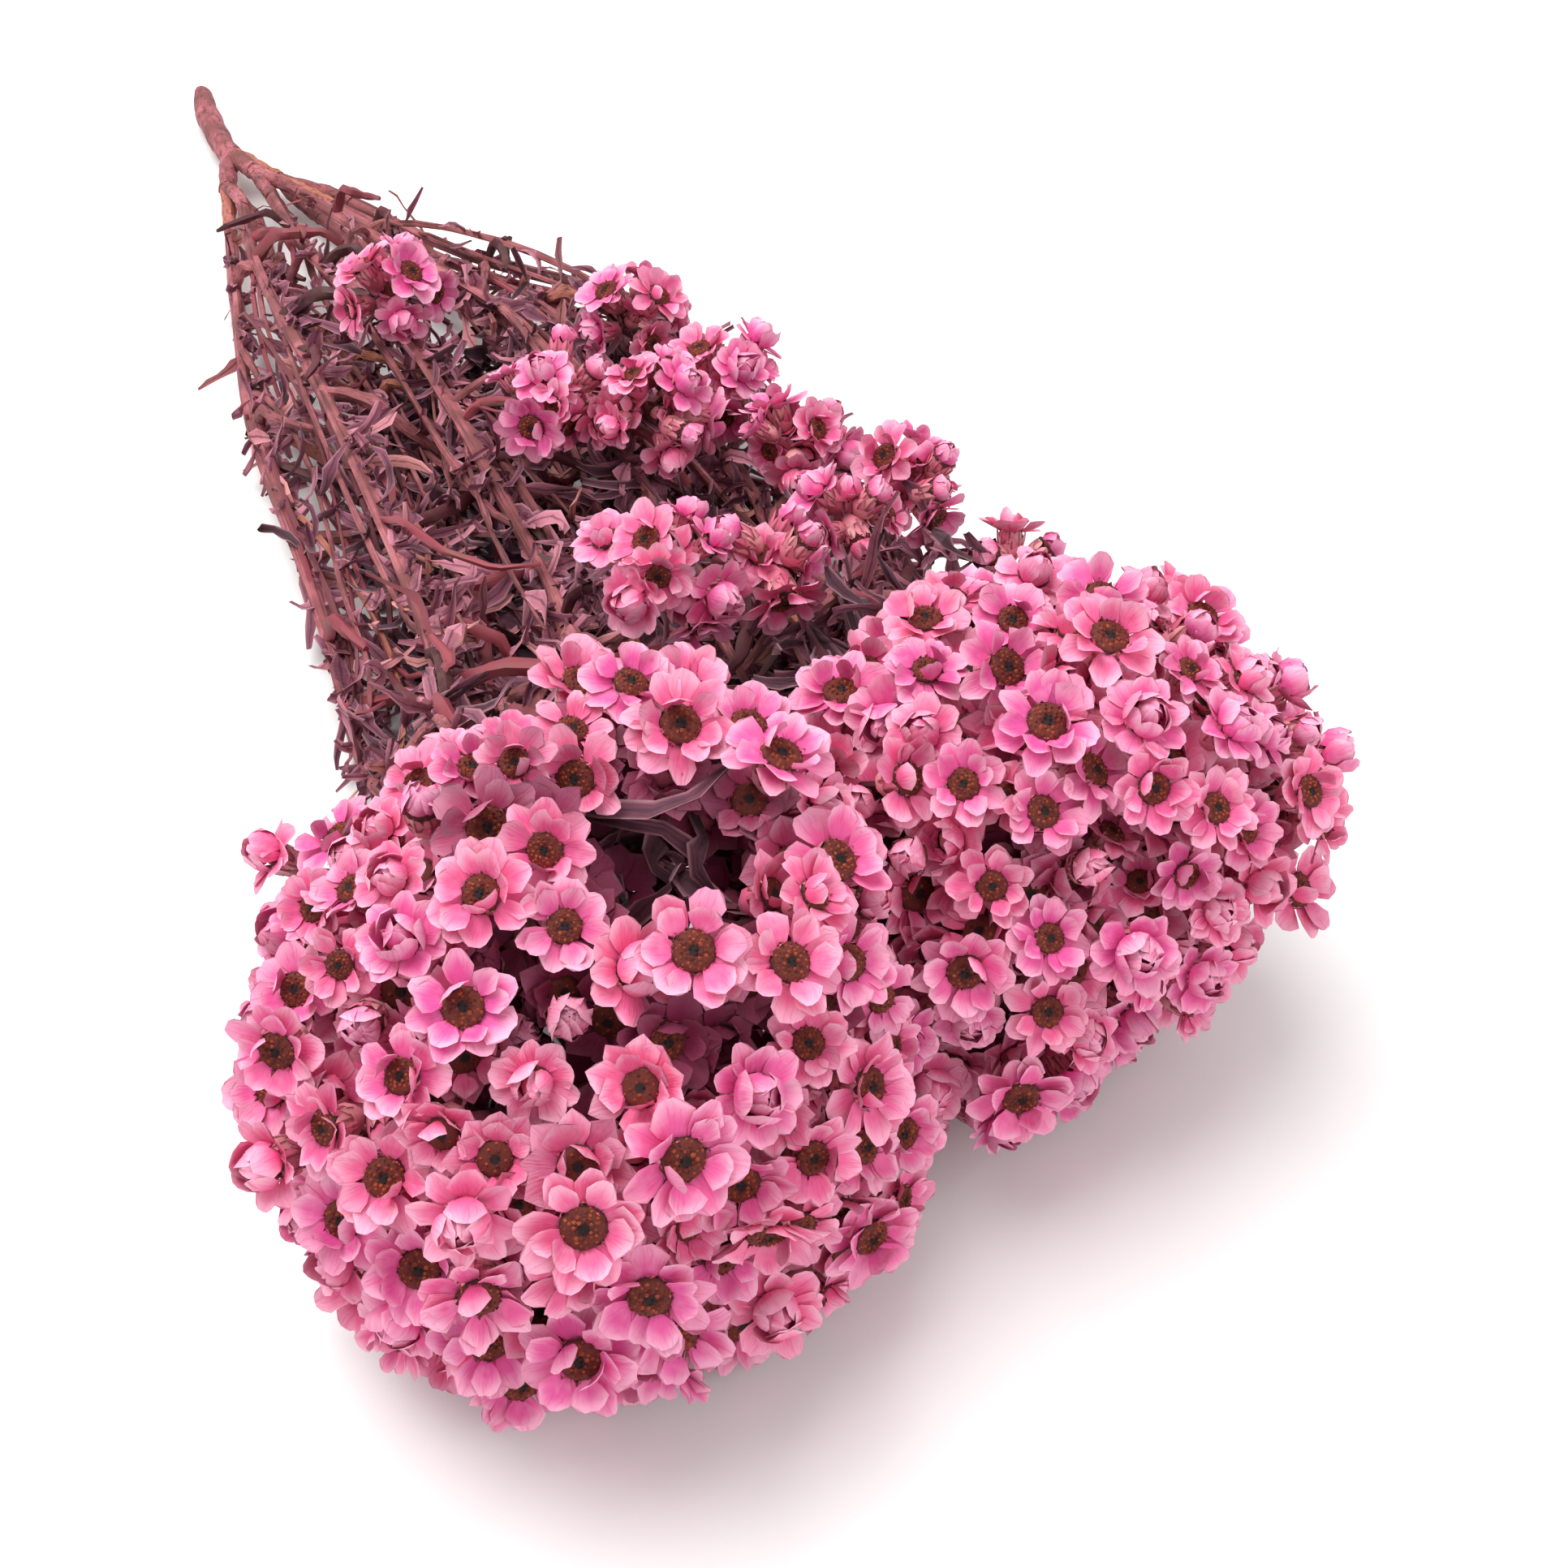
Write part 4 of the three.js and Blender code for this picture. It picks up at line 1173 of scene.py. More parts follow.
def sweep(points, line, twist=0.0, spin=0.0):
    """Bends a shape that stands along y from 0 to 1 to follow a line."""
    sides, ups = carried_frames(line)
    place = np.clip(points[:, 1], 0, 1) * (len(line) - 1)
    i = np.minimum(place.astype(int), len(line) - 2)
    w = (place - i)[:, None]
    centre = line[i] * (1 - w) + line[i + 1] * w
    side = sides[i] * (1 - w) + sides[i + 1] * w
    up = ups[i] * (1 - w) + ups[i + 1] * w
    turn = (spin + twist * points[:, 1])[:, None]
    x = points[:, :1] * np.cos(turn) - points[:, 2:] * np.sin(turn)
    z = points[:, :1] * np.sin(turn) + points[:, 2:] * np.cos(turn)
    return centre + side * x + up * z


def add_stick(clump, line, radii, detail, finish, tone, draw, knobs=0.08):
    """A stick along a line, its radius going from one value to the next and never quite round."""
    shape = stick_shape(*detail)
    points = shape.points.copy()
    angle = np.arctan2(points[:, 2], points[:, 0])
    wrinkle = sum(np.sin(angle * n + points[:, 1] * turns + draw() * PHASE) for n, turns in KNOB_WAVES)
    radius = np.interp(points[:, 1], np.linspace(0, 1, len(radii)), radii) * (1 + knobs * wrinkle)
    points[:, 0] *= radius
    points[:, 2] *= radius
    clump.add(shape, sweep(points, line), finish, tone)


def add_leaf(clump, line, shape, draw, finish, width=1.0, twist=5.0, tones=(0, 1)):
    """A leaf along a line, rolled, crinkled and twisted on its own."""
    points = shape.points.copy()
    curl = part_way(LEAF_WIDTHS, draw())
    crinkle = sum(np.sin(points[:, 1] * turns + draw() * PHASE) for turns in CRINKLE_WAVES)
    points[:, 0] *= width * curl * (1 + CRINKLE_SPREAD * crinkle)
    points[:, 2] *= width * (WIDTH_AND_HEIGHT - curl)
    points[:, 2] += CRINKLE_LIFT * crinkle * points[:, 1]
    tone = part_way(tones, draw())
    clump.add(shape, sweep(points, line, twist=nudge(draw) * twist, spin=draw() * FULL_TURN), finish, tone)


def wavy(curve, draw):
    """A leaf's curve with the kink that drying gave it."""
    line = bezier(*curve, WAVY_STEPS)
    kink = nudge(draw) * KINK * length_of(line)
    share = np.linspace(0, 1, WAVY_STEPS + 1)
    bow = np.sin(share * math.pi * 2) * share
    return line + np.outer(bow * kink, across(unit(curve[2] - curve[0]))[0])


def curly_line(root, tangent, middle, draw, length, bend=CURLY_BEND):
    """A leaf's line that opens a little from its stem, leans into the bundle and curls towards its tip."""
    u, v = across(tangent)
    around = draw() * 2 * math.pi
    inward = middle - root
    lean = inward / max(np.linalg.norm(inward), CURLY_LEAN)
    side = unit(u * math.cos(around) + v * math.sin(around) + lean)
    opening = part_way(CURLY_OPENING, draw() ** CURLY_OPENING_POWER)
    ahead = unit(tangent * math.cos(opening) + side * math.sin(opening))
    axis = unit(np.cross(ahead, side) + sway(draw) * CURLY_AXIS_SWAY)
    curl = part_way(bend, draw()) * (1 if draw() > CURLS_BACK else -1)
    line = [root]
    for k in range(CURLY_STEPS):
        line.append(line[-1] + ahead * length / CURLY_STEPS)
        growth = part_way(CURL_GROWTH, k / CURLY_STEPS)
        ahead = unit(ahead + np.cross(axis, ahead) * curl / CURLY_STEPS * growth)
        if line[-1][2] < LOWEST_LEAF:
            ahead[2] = abs(ahead[2])
        axis = unit(axis + sway(draw) * AXIS_DRIFT)
    return np.array(line)


def curl_from(line, t, draw, length, bend=CURLY_BEND):
    """A curly line from a place on a stem or strand."""
    root = along(line, t)
    return curly_line(root, heading(line, t), bundle_middle(root[1]), draw, length, bend)


def curl_blades(shape, place, turn, start, rise, bend, cup, stretch, wave=0.0, tilt=0.0):
    """Bends a flat blade up from a bloom's axis: it starts at a radius and height, rises and bends."""
    at, u, v, up = place
    x = shape.points[:, 0] * stretch[0]
    y = shape.points[:, 1] * stretch[1]
    share = shape.points[:, 1] / shape.points[:, 1].max()
    bend = bend if abs(bend) > LEAST_BEND else LEAST_BEND
    angle = rise + bend * share
    length = shape.points[:, 1].max() * stretch[1]
    run = length / bend
    out = start[0] + run * (np.sin(angle) - math.sin(rise)) + (y - length * share) * np.cos(angle)
    lift = start[1] + run * (math.cos(rise) - np.cos(angle)) + (y - length * share) * np.sin(angle)
    half = abs(shape.points[:, 0]).max() * stretch[0]
    arc = cup * x / half + TINY
    side = x * np.sin(arc) / arc
    normal = shape.points[:, 2] + x * (1 - np.cos(arc)) / arc
    normal = normal + wave * np.sin(x / half * PETAL_WAVE + turn * WAVE_START) * share**2 + tilt * x * share
    out = out - normal * np.sin(angle)
    lift = lift + normal * np.cos(angle)
    radial = u * math.cos(turn) + v * math.sin(turn)
    beside = v * math.cos(turn) - u * math.sin(turn)
    return at + np.outer(out, radial) + np.outer(side, beside) + np.outer(lift, up)


# Petal rings by kind of bloom: petals, radius and height of the foot, rise, bend, cup, length, width.
PETAL_RINGS = {
    "open": (
        (7, mm(1.55), mm(-0.35), (0.0, 0.5), (-0.5, 0.4), 0.55, (0.96, 1.14), 1.0),
        (5, mm(1.65), mm(0.0), (0.25, 0.95), (-0.5, 0.5), 0.7, (0.7, 0.94), 0.9),
    ),
    "half": (
        (8, mm(1.4), mm(-0.35), (0.05, 0.6), (-0.6, 0.3), 0.5, (0.92, 1.08), 0.98),
        (5, mm(1.85), mm(-0.1), (0.85, 1.05), (1.35, 1.75), 0.9, (0.98, 1.12), 1.15),
        (3, mm(1.15), mm(0.1), (1.05, 1.2), (1.5, 1.8), 0.9, (0.98, 1.06), 1.1),
    ),
    "bud": (
        (6, mm(1.35), mm(-0.3), (0.9, 1.1), (1.5, 1.9), 0.9, (0.76, 0.88), 1.05),
        (3, mm(0.95), mm(0.0), (1.05, 1.25), (1.6, 1.9), 0.9, (0.7, 0.8), 1.0),
    ),
}
# Rows of cup scales: how many, radius, height, rise, bend and width.
CUP_ROWS = (
    (8, mm(1.85), mm(-2.1), 1.5, 0.2, 0.95),
    (6, mm(1.45), mm(-3.4), 1.15, 0.55, 1.05),
    (5, mm(0.75), mm(-4.6), 0.75, 0.75, 0.9),
)
# The cup's half sizes, and how far its middle lies under the petals.
CUP_SIZE = mm(1.95, 1.95, 2.6)
CUP_DEPTH = mm(2.35)
# The scales of a cup: how far each is nudged beside its place, their rise, bend, curl and length.
SCALE_SWAY = 0.3
SCALE_RISE = 0.1
SCALE_BEND = 0.35
SCALE_CURL = 0.6
SCALE_LENGTHS = (0.85, 1.1)
# A petal's place: extra petals of a ring, turn of the next ring, how far each is nudged, tilt of the ring,
# and how much of its rise a petal shares with its ring.
PETAL_EXTRA = 2.6
RING_TURN = 0.4
PETAL_SWAY = 0.6
RING_TILT = 0.16
RING_SHARE = 0.6
# An inner petal of an open bloom stands up where its draw is over this; the rise and bend that it then has.
UPRIGHT_OVER = 0.85
UPRIGHT = (1.25, 0.9)
# Petals: their widths, how far the foot is lifted, how much of the ring's cup they have, wave and tilt.
PETAL_WIDTHS = (0.8, 1.16)
PETAL_LIFT = mm(0.25)
PETAL_CUP = (0.2, 1.4)
PETAL_WAVE_HEIGHT = mm(0.5)
PETAL_TILT = 0.8
# A draw times this, cut to a whole number, picks one of the three outlines of petal.
PETAL_PICK = 2.999
# Bloom sizes: the least and the most, and the radius of an open bloom of size 1.
BLOOM_SIZES = (0.72, 1.24)
OPEN_RADIUS = mm(5)
BLOOM_SEED_STEP = 7919
# The stalk under a bloom: how far it bends, its steps, and its radius from foot to cup.
PEDICEL_BEND = 0.45
PEDICEL_STEPS = 6
PEDICEL_RADII = (PEDICEL_RADIUS * 0.62, PEDICEL_RADIUS * 0.55, PEDICEL_RADIUS * 0.8)
# The eye: its radius, its lift over the bloom's middle, its cushion's tone, and the florets' sizes.
EYE_RADIUS = mm(1.98)
EYE_LIFT = mm(0.05)
EYE_TONE = 0.25
FLORET_RADIUS = mm(0.2)
FLORET_WIDTHS = (0.8, 1.3)
FLORET_HEIGHTS = (0.5, 1.1)
FLORET_SWAY = 0.3
FLORET_LIFT = mm(0.04)
# Florets reach this share of the eye's radius. Those in the middle sit lower, and none as low as the rim.
FLORET_REACH = 0.97
FLORET_MIDDLE = 0.3
FLORET_SINK = mm(0.2)
FLORET_LEAST_RISE = 0.04
# The share of half-open blooms and buds that show no eye.
HIDDEN_EYES = 0.5
# By a bloom's detail: rows of cup scales, florets of the eye, rings of petals, sides and rings of its stalk.
CUP_DETAIL = (2, 1, 0)
EYE_DETAIL = (54, 18, 0)
RING_DETAIL = (3, 2, 1)
PEDICEL_DETAIL = ((5, 5), (4, 3), (4, 2))
# How far blooms deep in a head or in its hollow get painted shade: blend over 1 darkens a petal towards the
# shaded colour.
HOLLOW_SHADE_BLEND = 2.4
DEEP_SHADE_BLEND = (0, 0.7, 1.8)
STICK_FINISH, PETAL_FINISH, EYE_FINISH, SCALE_FINISH, SPRAY_LEAF_FINISH = range(5)


def add_eye(clump, place, size, draw, florets):
    """The eye of a bloom: a cushion with florets spread over it by the golden angle."""
    at, u, v, up = place
    dome = dome_shape().points
    spread = dome * EYE_RADIUS * size
    points = at + spread[:, :1] * u + spread[:, 1:2] * v + spread[:, 2:] * up
    clump.add(dome_shape(), points, EYE_FINISH, EYE_TONE, np.hypot(dome[:, 0], dome[:, 1]))
    knob = floret_shape().points
    for k in range(florets):
        share = math.sqrt((k + 0.5) / florets)
        angle = k * GOLDEN_ANGLE + draw() * FLORET_SWAY
        level = math.sqrt(max(1 - share**2, FLORET_LEAST_RISE))
        lift = EYE_RISE * EYE_RADIUS * size * level + FLORET_LIFT
        if share < FLORET_MIDDLE:
            lift -= FLORET_SINK
        wide = FLORET_RADIUS * size * part_way(FLORET_WIDTHS, draw())
        reach = share * EYE_RADIUS * size * FLORET_REACH
        middle = at + u * reach * math.cos(angle) + v * reach * math.sin(angle) + up * lift
        high = knob[:, 2:] * part_way(FLORET_HEIGHTS, draw())
        points = middle + wide * (knob[:, :1] * u + knob[:, 1:2] * v + high * up)
        clump.add(floret_shape(), points, EYE_FINISH, draw(), share)


def hollow_share(point):
    """How far inside the left head's hollow a point lies, from 0 to 1: the share of painted shade for a bloom
    there.
    """
    head = HEADS["left"]
    axis = unit(HOLLOW)
    offset = point - head.centre
    height = offset @ axis
    aside = distance(point, head.centre + axis * height)
    depth = np.clip((head.radius - HOLLOW_MOUTH - height) / HOLLOW_FADE, 0, 1)
    return depth * np.clip((HOLLOW_REACH - aside) / HOLLOW_FADE, 0, 1) * (height > 0)


def add_cup(clump, place, size, draw, blend, rows):
    """The cup under the petals with its rows of scales."""
    at, u, v, up = place
    cup = cup_shape().points * CUP_SIZE * size
    points = at - up * CUP_DEPTH * size + cup[:, :1] * u + cup[:, 1:2] * v + cup[:, 2:] * up
    clump.add(cup_shape(), points, SCALE_FINISH, draw(), blend)
    for row, (count, radius, height, rise, bend, width) in enumerate(CUP_ROWS[:rows]):
        for k in range(count):
            turn = (k + row * 0.5 + nudge(draw) * SCALE_SWAY) * 2 * math.pi / count
            start = (radius * size, height * size)
            stretch = (width * size, size * part_way(SCALE_LENGTHS, draw()))
            risen = rise + draw() * SCALE_RISE
            bent = bend - draw() * SCALE_BEND
            points = curl_blades(scale_shape(), place, turn, start, risen, bent, SCALE_CURL, stretch)
            clump.add(scale_shape(), points, SCALE_FINISH, draw(), blend)


def add_petal_ring(clump, bloom, place, size, draw, blend, ring, number, shapes):
    """One ring of petals, each bent, cupped and tilted on its own."""
    count, radius, height, rises, bends, cup, lengths, width = ring
    petals = count + int(draw() * PETAL_EXTRA)
    tilt = draw() * 2 * math.pi
    open_share = draw()
    for k in range(petals):
        turn = bloom.spin + number * RING_TURN + (k + nudge(draw) * PETAL_SWAY) * 2 * math.pi / petals
        mixed = RING_SHARE * open_share + (1 - RING_SHARE) * draw()
        rise = part_way(rises, mixed) + RING_TILT * math.cos(turn - tilt)
        bend = part_way(bends, draw())
        if bloom.kind == "open" and number == 1 and draw() > UPRIGHT_OVER:
            rise, bend = UPRIGHT
        long = part_way(lengths, draw())
        stretch = (width * size * part_way(PETAL_WIDTHS, draw()), size * long)
        start = (radius * size, height * size + PETAL_LIFT * draw())
        shape = shapes[int(draw() * PETAL_PICK)]
        cupped = cup * part_way(PETAL_CUP, draw())
        wave = PETAL_WAVE_HEIGHT * draw()
        # The next petal's rise follows this one's tilt.
        tilt = nudge(draw) * PETAL_TILT
        points = curl_blades(shape, place, turn, start, rise, bend, cupped, stretch, wave, tilt)
        clump.add(shape, points, PETAL_FINISH, draw(), blend)


def add_bloom(clump, bloom, number):
    """One bloom on its stalk: pedicel, cup with its scales, rings of petals and the eye."""
    draw = draws(1 + number * BLOOM_SEED_STEP)
    settings = bpy.context.scene.ixodia_blooms
    full = OPEN_RADIUS if bloom.kind == "open" else KIND_TIP[bloom.kind]
    size = float(np.clip(bloom.radius * settings.spread / full, *BLOOM_SIZES))
    u, v = across(bloom.up)
    place = (bloom.at, u, v, bloom.up)
    # Blend over 1 is painted shade, for blooms deep in a head or in its hollow.
    blend = draw() + DEEP_SHADE_BLEND[bloom.detail] + HOLLOW_SHADE_BLEND * hollow_share(bloom.at)
    neck = bloom.at - bloom.up * CUP_LENGTH * size
    control = neck - bloom.up * distance(bloom.foot, neck) * PEDICEL_BEND
    stalk = bezier(bloom.foot, control, neck, PEDICEL_STEPS)
    add_stick(clump, stalk, PEDICEL_RADII, PEDICEL_DETAIL[bloom.detail], STICK_FINISH, draw(), draw)
    add_cup(clump, place, size, draw, blend, CUP_DETAIL[bloom.detail])
    shapes = deep_petal_shapes() if bloom.detail else petal_shapes()
    for k, ring in enumerate(PETAL_RINGS[bloom.kind][: RING_DETAIL[bloom.detail]]):
        add_petal_ring(clump, bloom, place, size, draw, blend, ring, k, shapes)
    florets = EYE_DETAIL[bloom.detail]
    if florets and (bloom.kind == "open" or draw() > HIDDEN_EYES):
        add_eye(clump, (bloom.at + bloom.up * EYE_LIFT, u, v, bloom.up), size, draw, florets)


# Finishes: sums on shader sockets, then coats of colour. Noise scales are per metre, or per length of map.


class Value:
    """A shader socket that is used in Python maths."""

    def __init__(self, finish, socket):
        self.finish = finish
        self.socket = socket

    def maths(self, operation, first, second=None):
        inputs = {0: first} if second is None else {0: first, 1: second}
        return self.finish.node("ShaderNodeMath", {"operation": operation}, inputs)

    def __add__(self, other):
        return self.maths("ADD", self, other)

    def __mul__(self, other):
        return self.maths("MULTIPLY", self, other)

    def __sub__(self, other):
        return self.maths("SUBTRACT", self, other)

    def __abs__(self):
        return self.maths("ABSOLUTE", self)


class Finish:
    """One surface finish: a Principled shader and the nodes that feed it."""

    def __init__(self, name, **constants):
        self.material = bpy.data.materials.new(name)
        self.material.use_nodes = True
        self.tree = self.material.node_tree
        self.shader = self.tree.nodes["Principled BSDF"]
        for label, value in constants.items():
            self.shader.inputs[label.replace("_", " ").title()].default_value = value

    def node(self, kind, settings=None, inputs=None, output=0):
        node = self.tree.nodes.new(kind)
        for label, value in (settings or {}).items():
            setattr(node, label, value)
        for key, value in (inputs or {}).items():
            if isinstance(value, Value):
                self.tree.links.new(value.socket, node.inputs[key])
            else:
                node.inputs[key].default_value = value
        return Value(self, node.outputs[output])

    def feed(self, label, value):
        self.tree.links.new(value.socket, self.shader.inputs[label])

    def attribute(self, name):
        return self.node("ShaderNodeAttribute", {"attribute_name": name}, output="Fac")

    def map_parts(self):
        """Across and along of the piece's own map."""
        place = self.node("ShaderNodeUVMap", {"uv_map": "UVMap"})
        split = self.tree.nodes.new("ShaderNodeSeparateXYZ")
        self.tree.links.new(place.socket, split.inputs[0])
        return Value(self, split.outputs[0]), Value(self, split.outputs[1])

    def noise(self, scale, vector=None, detail=3.0, roughness=0.55):
        inputs = {"Scale": scale, "Detail": detail, "Roughness": roughness}
        inputs["Vector"] = vector or self.node("ShaderNodeTexCoord", output="Object")
        return self.node("ShaderNodeTexNoise", None, inputs)

    def streaks(self, place, scales, detail=3.0, roughness=0.55):
        """Noise on a piece's own map, by its scales across a copy, along it, and from one to the next."""
        parts = {axis: value * scale for axis, (value, scale) in enumerate(zip(place, scales))}
        return self.noise(1.0, self.node("ShaderNodeCombineXYZ", None, parts), detail, roughness)

    def steps(self, value, low, high):
        settings = {"interpolation_type": "SMOOTHSTEP"}
        return self.node("ShaderNodeMapRange", settings, {0: value, 1: low, 2: high})

    def mix(self, factor, first, second):
        def colour(value):
            return value if isinstance(value, Value) else (*value[:3], 1.0)

        inputs = {0: factor, 6: colour(first), 7: colour(second)}
        return self.node("ShaderNodeMix", {"data_type": "RGBA"}, inputs, output=2)

    def paint(self, colour, *coats):
        """Coats over a first colour. Each: colour, what it follows, where it starts and is full, strength."""
        for coat, value, start, full, strength in coats:
            colour = self.mix(self.steps(value, start, full) * strength, colour, coat)
        self.feed("Base Color", colour)

    def bump(self, height, strength, distance):
        inputs = {"Height": height, "Strength": strength, "Distance": distance}
        self.feed("Normal", self.node("ShaderNodeBump", None, inputs))


@cache
def petal_finish():
    """Papery petal: deep at its foot, paler at the rim, fine veins along it, some warm, some cool; painted
    shade on deep blooms.
    """
    looks = bpy.context.scene.ixodia_blooms
    finish = Finish("petal_paper", roughness=0.62, sheen_weight=0.04)
    side, length = finish.map_parts()
    tone = finish.attribute("tone")
    blend = finish.attribute("blend")
    rim = length + abs(side - 0.5) * 0.7 + (tone - 0.5) * 0.4
    veins = finish.streaks((side, length, tone), (16, 1.8, 40), detail=5.0)
    patches = finish.noise(scale=420.0, detail=2.0)
    finish.paint(
        looks.petal_cool,
        (looks.petal_warm, blend, 0.0, 1.0, 1.0),
        (looks.petal_pale, rim, 0.45, 1.2, 0.8),
        (looks.petal_deep, tone, 0.72, 1.0, 0.4),
        (looks.petal_deep, length, 0.26, 0.0, 0.5),
        (looks.petal_deep, veins, 0.48, 0.7, 0.4),
        (looks.petal_pale, patches, 0.45, 0.75, 0.25),
        # Painted shade: petals of blooms deep in a head or in its hollow darken towards the shaded colour.
        (looks.petal_shade, blend, 1.0, 2.8, 0.9),
    )
    finish.bump(veins + finish.noise(scale=1500.0) * 0.4, strength=0.6, distance=mm(0.16))
    return finish.material


@cache
def eye_finish():
    """The eye: orange-brown grains, a near-black middle and a rim darkened as painted shade."""
    looks = bpy.context.scene.ixodia_blooms
    finish = Finish("eye_grains", roughness=0.8)
    from_middle = finish.attribute("blend")
    flecks = finish.noise(scale=3800.0, detail=2.0)
    finish.paint(
        looks.eye_brown,
        (looks.eye_orange, finish.attribute("tone"), 0.15, 0.95, 1.0),
        (looks.eye_dark_and_rim_shade, from_middle, 0.36, 0.2, 1.0),
        # Painted shade at the rim, where the eye meets the petals.
        (looks.eye_dark_and_rim_shade, from_middle, 0.88, 1.0, 0.75),
        (looks.eye_dark_and_rim_shade, flecks, 0.5, 0.7, 0.5),
    )
    finish.bump(flecks, strength=0.5, distance=mm(0.05))
    return finish.material


@cache
def scale_finish():
    """Cup scales: pale straw and pink with a red-brown stripe down the middle and a darker foot."""
    looks = bpy.context.scene.ixodia_blooms
    finish = Finish("cup_scales", roughness=0.5, sheen_weight=0.1)
    side, length = finish.map_parts()
    tone = finish.attribute("tone")
    finish.paint(
        finish.mix(tone, looks.scale_straw, looks.scale_pink),
        (looks.scale_brown, abs(side - 0.5) + finish.noise(scale=900.0) * 0.12, 0.24, 0.1, 0.8),
        (looks.scale_brown, length, 0.5, 0.0, 0.6),
    )
    ribs = finish.streaks((side, length, tone), (9, 1.2, 30))
    finish.bump(ribs, strength=0.4, distance=mm(0.1))
    return finish.material


@cache
def stick_finish():
    """Wiry bloom stalks and twigs: from dark to red-brown, here and there green-brown."""
    looks = bpy.context.scene.ixodia_stems
    finish = Finish("wiry_stalk", roughness=0.6)
    side, length = finish.map_parts()
    tone = finish.attribute("tone")
    finish.paint(
        looks.twig_dark,
        (looks.twig_red, tone, 0.2, 0.9, 1.0),
        (looks.twig_green, finish.noise(scale=260.0), 0.5, 0.75, 0.5),
    )
    ribs = finish.streaks((side, length, tone), (16, 3, 20))
    finish.bump(ribs, strength=0.5, distance=mm(0.12))
    return finish.material


@cache
def bark_finish():
    """Dyed bark: dull rose-brown, with painted shade in the grooves along it and painted highlight on its
    ridges.
    """
    looks = bpy.context.scene.ixodia_stems
    finish = Finish("dyed_bark", roughness=0.75)
    side, length = finish.map_parts()
    tone = finish.attribute("tone")
    grooves = finish.streaks((side, length, tone), (14, 26, 20), detail=5.0, roughness=0.65)
    patches = finish.noise(scale=110.0, detail=4.0)
    finish.paint(
        looks.bark_brown,
        (looks.bark_rose, patches, 0.35, 0.7, 1.0),
        (looks.bark_tan, tone, 0.8, 0.95, 0.6),
        # Painted highlight where pale patches meet the raised ridges.
        (looks.bark_ridge_highlight, patches * 0.5 + grooves * 0.5, 0.5, 0.72, 0.7),
        # Painted shade in the grooves.
        (looks.bark_groove_shade, grooves, 0.52, 0.3, 0.85),
    )
    finish.bump(grooves + patches * 0.3, strength=0.8, distance=mm(0.5))
    return finish.material


@cache
def leaf_finish():
    """Dried leaf: mauve-brown, with painted shade in its groove and a painted highlight on its rolled
    margins.
    """
    looks = bpy.context.scene.ixodia_stems
    finish = Finish("dried_leaf", roughness=0.68, sheen_weight=0.1)
    side, length = finish.map_parts()
    tone = finish.attribute("tone")
    finish.paint(
        looks.leaf_plum,
        (looks.leaf_rose, tone, 0.1, 0.95, 1.0),
        (looks.leaf_tan, tone, 0.84, 0.97, 0.6),
        # Low tones darken a leaf: at random on most, as painted shade on those under the stems, in the heads
        # and in the hollow.
        (looks.leaf_dark_spots_and_shade, tone, 0.2, 0.0, 0.8),
        # Painted highlight on the rolled margins.
        (looks.leaf_margin_highlight, abs(side - 0.5), 0.3, 0.46, 0.34),
        # Painted shade in the leaf's middle groove.
        (looks.leaf_dark_spots_and_shade, abs(side - 0.5) + (finish.noise(scale=600.0) - 0.5) * 0.2, 0.13, 0.02, 0.65),
        (looks.leaf_dark_spots_and_shade, finish.noise(scale=160.0, detail=4.0), 0.52, 0.75, 0.55),
    )
    wrinkles = finish.streaks((side, length, tone), (7, 16, 30), detail=4.0)
    finish.bump(wrinkles, strength=0.7, distance=mm(0.25))
    return finish.material


def colour_value(name, description, red, green, blue):
    return FloatVectorProperty(
        name=name,
        description=description,
        subtype="COLOR",
        size=3,
        min=0,
        max=1,
        default=linear(red, green, blue),
    )


def length_value(name, description, millimetres):
    return FloatProperty(
        name=name, description=description, unit="LENGTH", subtype="DISTANCE", min=0, default=mm(millimetres)
    )


def count_value(name, description, default):
    return IntProperty(name=name, description=description, default=default, min=0)


def power_value(name, description, watts):
    return FloatProperty(name=name, description=description, unit="POWER", min=0, default=watts)


class BloomSettings(bpy.types.PropertyGroup):
    petal_width: length_value("Petal width", "Widest row of a petal", 3.4)
    petal_length: length_value("Petal length", "Petal from foot to tip", 3.65)
    petal_thickness: length_value("Petal thickness", "Thickness of the papery petal", 0.1)
    spread: FloatProperty(
        name="Spread", description="A bloom's size over that of its solid", default=1.14, min=0.8, max=1.4
    )
    petal_warm: colour_value("Warm petal", "Petals dyed towards salmon", 239, 99, 149)
    petal_cool: colour_value("Cool petal", "Petals dyed towards orchid", 228, 84, 158)
    petal_pale: colour_value("Pale petal", "Rims and thin patches", 252, 192, 215)
    petal_deep: colour_value("Deep petal", "Feet and veins", 204, 50, 124)
    # Painted shade for the petals of blooms deep inside a head or in its hollow.
    petal_shade: colour_value("Shaded petal", "Petals deep inside a head", 116, 6, 60)
    eye_orange: colour_value("Orange grain", "Lit florets of the eye", 164, 76, 44)
    eye_brown: colour_value("Brown grain", "Shaded florets of the eye", 96, 32, 24)
    # The eye's dark middle is its own colour; its dark rim is painted shade.
    eye_dark_and_rim_shade: colour_value("Dark eye", "Middle and rim of the eye", 30, 10, 12)
    scale_straw: colour_value("Straw scale", "Cup scales, palest", 226, 152, 156)
    scale_pink: colour_value("Pink scale", "Cup scales, dyed", 212, 84, 126)
    scale_brown: colour_value("Brown stripe", "Middle stripe of a cup scale", 122, 38, 50)


